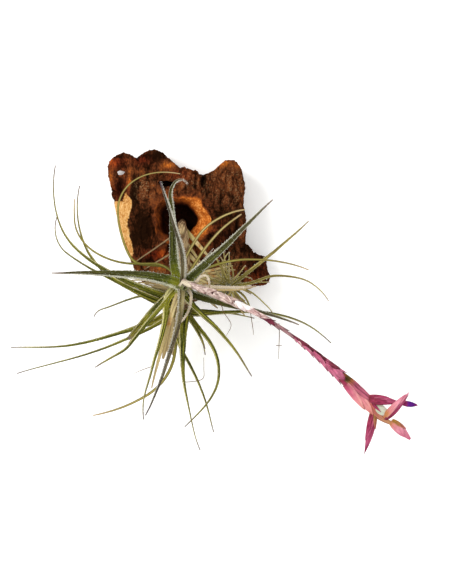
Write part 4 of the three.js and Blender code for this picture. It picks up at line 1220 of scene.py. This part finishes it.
# %% Stalk and bracts
STALK_SHARE = 0.7  # the stalk's own share of its thickness, and the bracts are the rest
plant("scape_stalk",
      [round_stem(SCAPE_ROUTE, [STALK_SHARE * radius for radius in SCAPE_RADII], 100)], stem_tree,
      dark_rose_skin, "scape", "scape", Section_points=16, Wrinkle_size=3 * MM,
      Wrinkle_depth=0.4 * MM)
# Each bract has the share of the stalk where it starts and the side its rib is on, in degrees.
SILVER_BRACTS = [(0.02, 200), (0.06, 40), (0.11, 300), (0.16, 150), (0.21, 20), (0.25, 250),
                 (0.27, 110)]
PAPERY_BRACTS = [(0.33, 60), (0.34, 180), (0.36, 300)]
CORAL_BRACTS = [(0.385, 20), (0.41, 150), (0.435, 300)]
DUSTY_BRACTS = [(0.48, 60), (0.53, 240), (0.57, 30)]
DARK_BRACTS = [(0.65, 330), (0.75, 200), (0.84, 300)]
RED_BRACTS = [(0.5, 110), (0.515, 20), (0.51, 250)]
ROSE_BRACTS = [(0.65, 95), (0.71, 80), (0.76, 100), (0.81, 70), (0.86, 110), (0.92, 100),
               (0.89, 280), (0.9, 0)]
FRINGE_TIPS = [(0.675, 110), (0.71, 85), (0.735, 120), (0.78, 100)]
ROUND_COVER, HALF_COVER = (175, 150, 90, 16), (100, 90, 60, 10)
for name, rows, length, finish, silver, cover in (
        ("first_bract", [(0.0, 20), (0.0, 140), (0.01, 260)], 14, bleached_skin, 1, HALF_COVER),
        ("silver_bracts", SILVER_BRACTS, 17, silver_rose_skin, 0.8, ROUND_COVER),
        ("papery_bracts", PAPERY_BRACTS, 11, papery_skin, 0.8, ROUND_COVER),
        ("coral_bracts", CORAL_BRACTS, 15, coral_skin, 0.8, ROUND_COVER),
        ("dusty_bracts", DUSTY_BRACTS, 18, dusty_skin, 0.6, ROUND_COVER),
        ("dark_bracts", DARK_BRACTS, 20, dark_rose_skin, 0.4, ROUND_COVER),
        ("red_bracts", RED_BRACTS, 8, dark_rose_skin, 0.3, HALF_COVER),
        ("rose_bracts", ROSE_BRACTS, 19, rose_skin, 0.35, HALF_COVER),
        ("fringe_tips", FRINGE_TIPS, 6, coral_skin, 0.8, HALF_COVER)):
    lift = 0.2 if cover == ROUND_COVER else 0.5
    strands = [wrapped(scape_line, BRACT_RADII, start, length, spin, lift=lift, flare=0.9,
                       cover=cover, thick=0.4, tint=chance.random(), silver=silver, dry=0.96)
               for start, spin in rows]
    plant(name, strands, blade_tree, finish, "scape", "scape", Section_points=24)

# %% [markdown]
# ## The flower head
# The stalk swells into a node of bracts, and from it come short spikes. Each spike is flattened, so
# a sweep with a round section won't do. Here the section is worked out: a lens with a blunt ridge,
# widest a third of the way along. The bracts are shells that lie on it: they start as wide as the
# spike and narrow to a point, so they are drawn on its surface and then given a thickness.

# %% Lens-shaped spikes and the shells that lie on them
class Body:
    """A body along a line, with a half width and a half height for each share of its length."""

    def __init__(self, line, half, high, ridge=0.0):
        self.line, self.half, self.high, self.ridge = line, half, high, ridge

    def point(self, share, angle, grow=0.0):
        centre, ahead = at_share(self.line, share)
        side, top = side_and_top(ahead)
        wide, tall = self.half(share) + grow, self.high(share) + grow
        across = wide * math.cos(angle)
        up = tall * math.sin(angle) * (1 + self.ridge * abs(math.sin(angle)) ** 5)
        return centre + side * across + top * up


def spike_body(row):
    line = walked(row["start"], row["heading"], row["rise"], row["length"])

    def half(share):
        run = 0.12 + row.get("sharp", 0.86) * share
        return max(row["width"] / 2 * math.sin(math.pi * run ** 0.75), 0.28)

    return Body(line, half, lambda share: half(share) * 0.5 + 0.12, ridge=0.22)


def solid_body(name, body, finish, around=32, steps=44, **look):
    shares = np.linspace(0, 1, steps)
    angles = np.linspace(0, 2 * np.pi, around, endpoint=False)
    rings = np.array([[body.point(s, a) for a in angles] for s in shares])
    mesh = ring_mesh(name, rings)
    numbered(mesh, share=np.repeat(shares, around), across=np.tile(np.cos(angles), steps),
             inner=0.5, tint=look.get("tint", 0.5), silver=look.get("silver", 0.3), dry=2)
    return finish_mesh(name, mesh, finish)


def finish_mesh(name, mesh, finish):
    mesh.materials.append(finish)
    mesh.shade_smooth()
    return linked(name, mesh)


def shell(name, body, finish, begin, end, middle, cover, grow=0.35, thick=0.3, lift=0.5,
          around=22, steps=30, **look):
    """A bract on a body, from one share to another, round a middle angle in degrees."""
    points, shares, offs = [], [], []
    for s in np.linspace(0, 1, steps):
        half_cover = math.radians(cover) * (1 - s ** 3) ** 0.8 + 0.05
        for off in np.linspace(-1, 1, around):
            angle = math.radians(middle) + off * half_cover
            points.append(body.point(begin + (end - begin) * s, angle, grow + lift * s**3))
            shares.append(s)
            offs.append(off)
    low = np.arange((steps - 1) * around).reshape(steps - 1, around)[:, :-1].ravel()
    quads = np.stack([low, low + around, low + around + 1, low + 1], 1)
    mesh = bpy.data.meshes.new(name)
    mesh.from_pydata((np.array(points) * MM).tolist(), [], quads.tolist())
    numbered(mesh, share=shares, across=offs, inner=0.5, tint=look.get("tint", 0.5),
             silver=look.get("silver", 0.3), dry=2)
    piece = finish_mesh(name, mesh, finish)
    walls = piece.modifiers.new("thickness", "SOLIDIFY")
    walls.thickness = thick * MM
    walls.offset = 0
    applied(piece, walls)
    return piece


def joined(name, pieces):
    """One object out of several, at the origin."""
    with bpy.context.temp_override(active_object=pieces[0], selected_editable_objects=pieces,
                                   selected_objects=pieces, object=pieces[0]):
        bpy.ops.object.join()
    pieces[0].name = name
    print(f"{name}: {len(pieces[0].data.polygons)} faces")
    return pieces[0]


# %% Flower skins
magenta_skin = skin("magenta flower bract",
                    [(0, "#7E3E34"), (0.12, "#8A3248"), (0.45, "#983655"), (0.85, "#AE5070"),
                     (1, "#8E3456")], "#D68CA2", "#C67890", "#8A3A56", roughness=0.42, coat=0.1,
                    vein=0.3)
pink_skin = skin("pale pink flower bract",
                 [(0, "#B97A50"), (0.15, "#CC807C"), (0.5, "#D58A98"), (1, "#BC5F7A")], "#E6B2B8",
                 "#DC9CA8", "#C06080", roughness=0.4, coat=0.08, vein=0.12)
salmon_skin = skin("salmon flower bract",
                   [(0, "#943A52"), (0.2, "#B85470"), (0.45, "#D27C88"), (0.75, "#DA8C8A"),
                    (1, "#C87A6C")], "#E0B8A4", "#DC9A98", "#C06A5A", roughness=0.42, coat=0.08,
                   vein=0.12)
node_skin = skin("rose flower node",
                 [(0, "#A8504A"), (0.08, "#8E3048"), (0.2, "#9A3C56"), (0.45, "#B0586C"),
                  (0.6, "#B05C50"), (0.72, "#B0665A"), (0.84, "#BE8064"), (1, "#B4885C")],
                 "#D9A0A0", "#C08088", "#8A5A3A", roughness=0.45, coat=0.1, vein=0.3)
olive_rose_skin = skin("olive-brown base bract",
                       [(0, "#A87A34"), (0.3, "#A07040"), (0.6, "#A86450"), (1, "#B8606C")],
                       "#C9A080", "#B88A70", "#8A4A40", roughness=0.45, coat=0.1, vein=0.3)
brown_rose_skin = skin("brown-stained rose bract",
                       [(0, "#B0583E"), (0.05, "#8A4A30"), (0.1, "#4E3A1A"), (0.19, "#584220"),
                        (0.27, "#96583A"), (0.36, "#A8546A"), (0.85, "#AE5C6E"), (1, "#7E3640")],
                       "#C98A80", "#B87870", "#6E3026", roughness=0.45, coat=0.1, vein=0.3)
pale_skin = skin("pale green flower scale", [(0, "#B9C19A"), (0.5, "#CBD2BC"), (1, "#DCC0BC")],
                 "#E4E6DA", "#D5D9C8", "#D0A8A0", roughness=0.5, coat=0.2)
petal_skin = skin("violet petal",
                  [(0, "#8E3258"), (0.28, "#8A2E60"), (0.42, "#5E2280"), (0.8, "#521C70"),
                   (1, "#8E2C5E")], "#8A4AA0", "#7A3A98", "#A03A60", roughness=0.35, coat=0.05,
                  vein=0.2)

# %% The swollen node
head_body = Body(head_line, lambda share: spread(HEAD_RADII, share),
                 lambda share: spread(HEAD_RADII, share) * 0.9)
node_core = solid_body("node_core", head_body, node_skin, steps=60)
lower_bract = shell("lower_bract", head_body, salmon_skin, 0.14, 0.6, 185, 95, grow=0.4, lift=0.7,
                    silver=0.4)
inner_bract = shell("inner_bract", head_body, salmon_skin, 0.2, 0.74, 150, 85, grow=0.1, lift=0.3,
                    silver=0.3, tint=0.8)
upper_bract = shell("upper_bract", head_body, brown_rose_skin, 0.0, 0.66, 25, 75, grow=0.15,
                    lift=0.3)
head = joined("flower_node", [node_core, inner_bract, lower_bract, upper_bract])
placed(head, "flower_head", slot="flower_bract")

# %% The spikes
SPIKES = {
    "flowering_spike": dict(start=(146, -141, 101), heading=[-3, -9], rise=[6, 4], length=28,
                            width=7.4),
    "long_spike": dict(start=(153, -149.5, 98.5), heading=[-98, -101, -107], rise=[-2, -8],
                       length=36, width=6.8),
    "raised_spike": dict(start=(161.5, -156.5, 98), heading=[49, 52], rise=[32, 22], length=31,
                         width=6.8),
    "end_spike": dict(start=(166.5, -159, 97.3), heading=[-40, -46], rise=[-4, -8], length=21,
                      width=7.6, sharp=0.78),
    "pale_scale": dict(start=(149.5, -146.8, 98.4), heading=[-20, -24], rise=[0, 4], length=18.5,
                       width=10),
    "small_spear": dict(start=(151, -144.5, 102.2), heading=[-43, -45], rise=[0, 0], length=10,
                        width=2.4),
}
SPIKE_SKINS = {"flowering_spike": magenta_skin, "long_spike": magenta_skin,
               "raised_spike": pink_skin, "end_spike": pink_skin, "pale_scale": pale_skin,
               "small_spear": magenta_skin}
# The bracts of a spike: where they begin and end, and their middle angle and cover in degrees.
SPIKE_BRACTS = {
    "flowering_spike": [(0.0, 0.72, 60, 95, magenta_skin), (0.25, 0.97, 140, 80, magenta_skin)],
    "long_spike": [(0.02, 0.7, 150, 80, magenta_skin), (0.0, 0.42, 25, 60, olive_rose_skin)],
    "raised_spike": [(0.0, 0.95, 165, 80, magenta_skin), (0.1, 0.9, 30, 70, pink_skin)],
    "end_spike": [(0.0, 0.75, 130, 90, pink_skin), (0.0, 0.6, 20, 60, olive_rose_skin)],
}
for name, row in SPIKES.items():
    body = spike_body(row)
    parts = [solid_body(name, body, SPIKE_SKINS[name], tint=chance.random())]
    for i, (begin, end, middle, cover, finish) in enumerate(SPIKE_BRACTS.get(name, [])):
        parts.append(shell(f"{name}_{i}", body, finish, begin, end, middle, cover,
                           grow=0.12 + 0.12 * i, lift=0.25, tint=chance.random()))
    piece = joined(name, parts)
    placed(piece, "flower_head", slot="flower_bract")

# %% [markdown]
# ## The petals
# Three violet petals are rolled round each other into a narrow tube. Only their last centimetre
# looks out of the spike. A tube with three shallow lobes that turn as they go shows the rolled
# edges.

# %% Petal tube
PETAL_LENGTH = 13
flowering = spike_body(SPIKES["flowering_spike"])
tip, ahead = at_share(flowering.line, 1)
petal_line = np.array([tip + ahead * by for by in np.linspace(0.1, PETAL_LENGTH, 30)])
petal_radii = [1.7, 2.4, 2.5, 2.2, 1.5, 0.4]
shares = np.linspace(0, 1, 40)
angles = np.linspace(0, 2 * np.pi, 36, endpoint=False)
petal_rings = []
for share in shares:
    centre, ahead = at_share(petal_line, share)
    side, top = side_and_top(ahead)
    lobes = ((angles + 1.6 * share) * 3 / (2 * np.pi)) % 1
    reach = spread(petal_radii, share) * (0.84 + 0.2 * lobes)
    petal_rings.append(centre + np.outer(reach * np.cos(angles), side)
                       + np.outer(reach * np.sin(angles), top))
petal_mesh = ring_mesh("petals", np.array(petal_rings))
numbered(petal_mesh, share=np.repeat(shares, len(angles)), across=0, inner=0.5, tint=0.5, silver=0,
         dry=2)
petals = finish_mesh("petals", petal_mesh, petal_skin)
placed(petals, "petal_tube", slot="petal")
print("petals:", len(petal_mesh.polygons), "faces")

# %% [markdown]
# ## Dead leaves under the crown
# Old leaves don't fall: they dry to straw and stay, packed under the green ones, and their brown
# bases sheathe the crown's foot. They are blades like the others, only paler, thinner and more
# bent, so they are made last, in the gaps that the living leaves leave.

# %% Straw in the crown
STRAW_LEAVES = [
    leaf_row(0.84, [244, 256, 253, 255, 257], [20, -8, -20], 86, 5, 0.8, silver=0.9, tint=1.3),
    leaf_row(0.82, [246, 259, 257], [20, -8, -20], 60, 3.6, 0.4, tip=1.2, tint=3),
    leaf_row(0.8, [256, 264, 260], [20, -8, -20], 52, 2.8, 0.5, tint=3.4),
    leaf_row(0.87, [243, 257, 254, 256], [18, -6, -20], 66, 1.3, 0.6, silver=1, tint=3.8),
    leaf_row(0.87, [258, 266, 258], [18, -6, -20], 56, 1.2, 0.6, silver=1, tint=3.8),
    leaf_row(0.8, [264, 268, 262], [16, -8, -20], 40, 3, 0.5, tint=0.8),
    leaf_row(0.74, [212, 228, 229, 230], [20, 4, -14, -24], 62, 3.6, 0.4, tip=2, tint=0.4),
]
STRAW_LEAVES += [leaf_row(0.62 + 0.04 * (i % 4), [148 + 5 * i, 178 - 5 * i, 152 + 12 * (i % 4)],
                          [24, -2, -14], 26 + 5 * (i % 4), 2.2, 0.7, tint=3.2 + 0.1 * i)
                 for i in range(9)]
OFFSET_STRAW = [dict(route=[(14, -53.6, 90), (30, -55.4, 92.5), (46, -55.6, 90.5), (58, -54, 87)],
                     width=2.8, taper=0.6, tint=3.2)]
OFFSET_STRAW += [leaf_row(0.2 + 0.12 * i, [-12 - 9 * i, -24 - 9 * i, -30 - 4 * i], [10, 0, -10],
                          15 + 6 * (i % 3), 2, 0.7, tint=3 + 0.2 * i) for i in range(6)]
straw = leaves_on(crown_line, STRAW_LEAVES) + leaves_on(offset_line, OFFSET_STRAW)
plant("straw_leaves", straw, blade_tree, dry_skin, "leaf_rosette", "leaf", Section_points=14,
      Ragged_edge=0.7)
brown_bases = [wrapped(crown_line, CROWN_RADII, start, 18, i * GOLDEN_ANGLE, lift=0.8, flare=3,
                       cover=(140, 110, 70, 40), sizes=(1, 1.1, 0.9, 0.5), tint=0.37 * i % 1,
                       dry=0.8) for i, start in enumerate(np.linspace(0.0, 0.5, 12))]
plant("brown_sheaths", brown_bases, blade_tree, sheath_skin, "leaf_rosette", "leaf",
      Section_points=18, Ragged_edge=0.4)

# %% [markdown]
# ## Loose fibres
# A few dead fibres hang from the stalk and cling to the leaves: the veins of bracts that have
# rotted away. They are as thin as hairs, so each is a round strand on the same tree as the stems.

# %% Fibres
stalk_fibres = [[(32.8, -66.8, 105), (34.1, -69.5, 103), (35, -73, 100), (41, -83.4, 95),
                 (37.2, -92.1, 92)], [(56, -73, 107), (57.4, -82, 103), (58.8, -91.2, 97)],
                [(78.2, -81.8, 108.5), (78.6, -90, 107), (78.4, -99.3, 103), (78.1, -110.2, 100)],
                [(76.1, -99.3, 103), (80.8, -99.2, 103)]]
leaf_fibres = [[(2, -129, 78.5), (8.4, -129, 79), (18.7, -126.3, 80), (19.4, -118, 82),
                (19.3, -109.4, 84)], [(-20.3, -116, 86), (-30, -119.4, 86), (-36.1, -122.2, 84)]]
for name, routes, node, slot in (("stalk_fibres", stalk_fibres, "scape", "scape"),
                                 ("leaf_fibres", leaf_fibres, "leaf_rosette", "leaf")):
    strands = [round_stem(route, [0.3, 0.28, 0.16], 24) for route in routes]
    plant(name, strands, stem_tree, sheath_skin, node, slot, Section_points=6, Wrinkle_size=2 * MM,
          Wrinkle_depth=0)

# %% [markdown]
# ## Floor and light
# The plant lies on a plain pale floor. Its light is soft and comes mostly from the left, as the
# bright left wall of the bark and the lit right wall of the knothole show. A large lamp makes soft
# shadows, a weaker one opposite keeps them light, and the pale world around fills the rest.

# %% Stage and lamps
floor_mesh = bpy.data.meshes.new("floor")
FLOOR_HALF = 3  # metres
corners = [(x * FLOOR_HALF, y * FLOOR_HALF, 0) for x, y in ((-1, -1), (1, -1), (1, 1), (-1, 1))]
floor_mesh.from_pydata(corners, [], [(0, 1, 2, 3)])
floor = linked("floor", floor_mesh)
# The paper lies on a light table, whose faint glow takes the weight out of the shadows.
floor_mesh.materials.append(material("matt white paper", Base_Color=colour("#FBFBF9"),
                                     Roughness=0.95, Emission_Color=(1, 1, 1, 1),
                                     Emission_Strength=0.14)[0])

AIM = Vector((0.03, -0.06, 0.06))
for name, place_m, size_m, power in (("key", (-0.95, 0.55, 1.25), 0.6, 17),
                                     ("fill", (1.1, -0.5, 1.2), 1.6, 3)):
    lamp = bpy.data.lights.new(name, "AREA")
    lamp.energy = power
    lamp.size = size_m
    lamp_object = linked(name, lamp)
    lamp_object.location = place_m
    lamp_object.rotation_euler = (AIM - Vector(place_m)).to_track_quat("-Z", "Y").to_euler()
world = bpy.data.worlds.new("pale studio")
world.use_nodes = True
world.node_tree.nodes["Background"].inputs["Color"].default_value = colour("#FFFFFF")
world.node_tree.nodes["Background"].inputs["Strength"].default_value = 0.95
bpy.context.scene.world = world
bpy.context.scene.view_settings.view_transform = "Standard"
print("lamps and floor are in place")
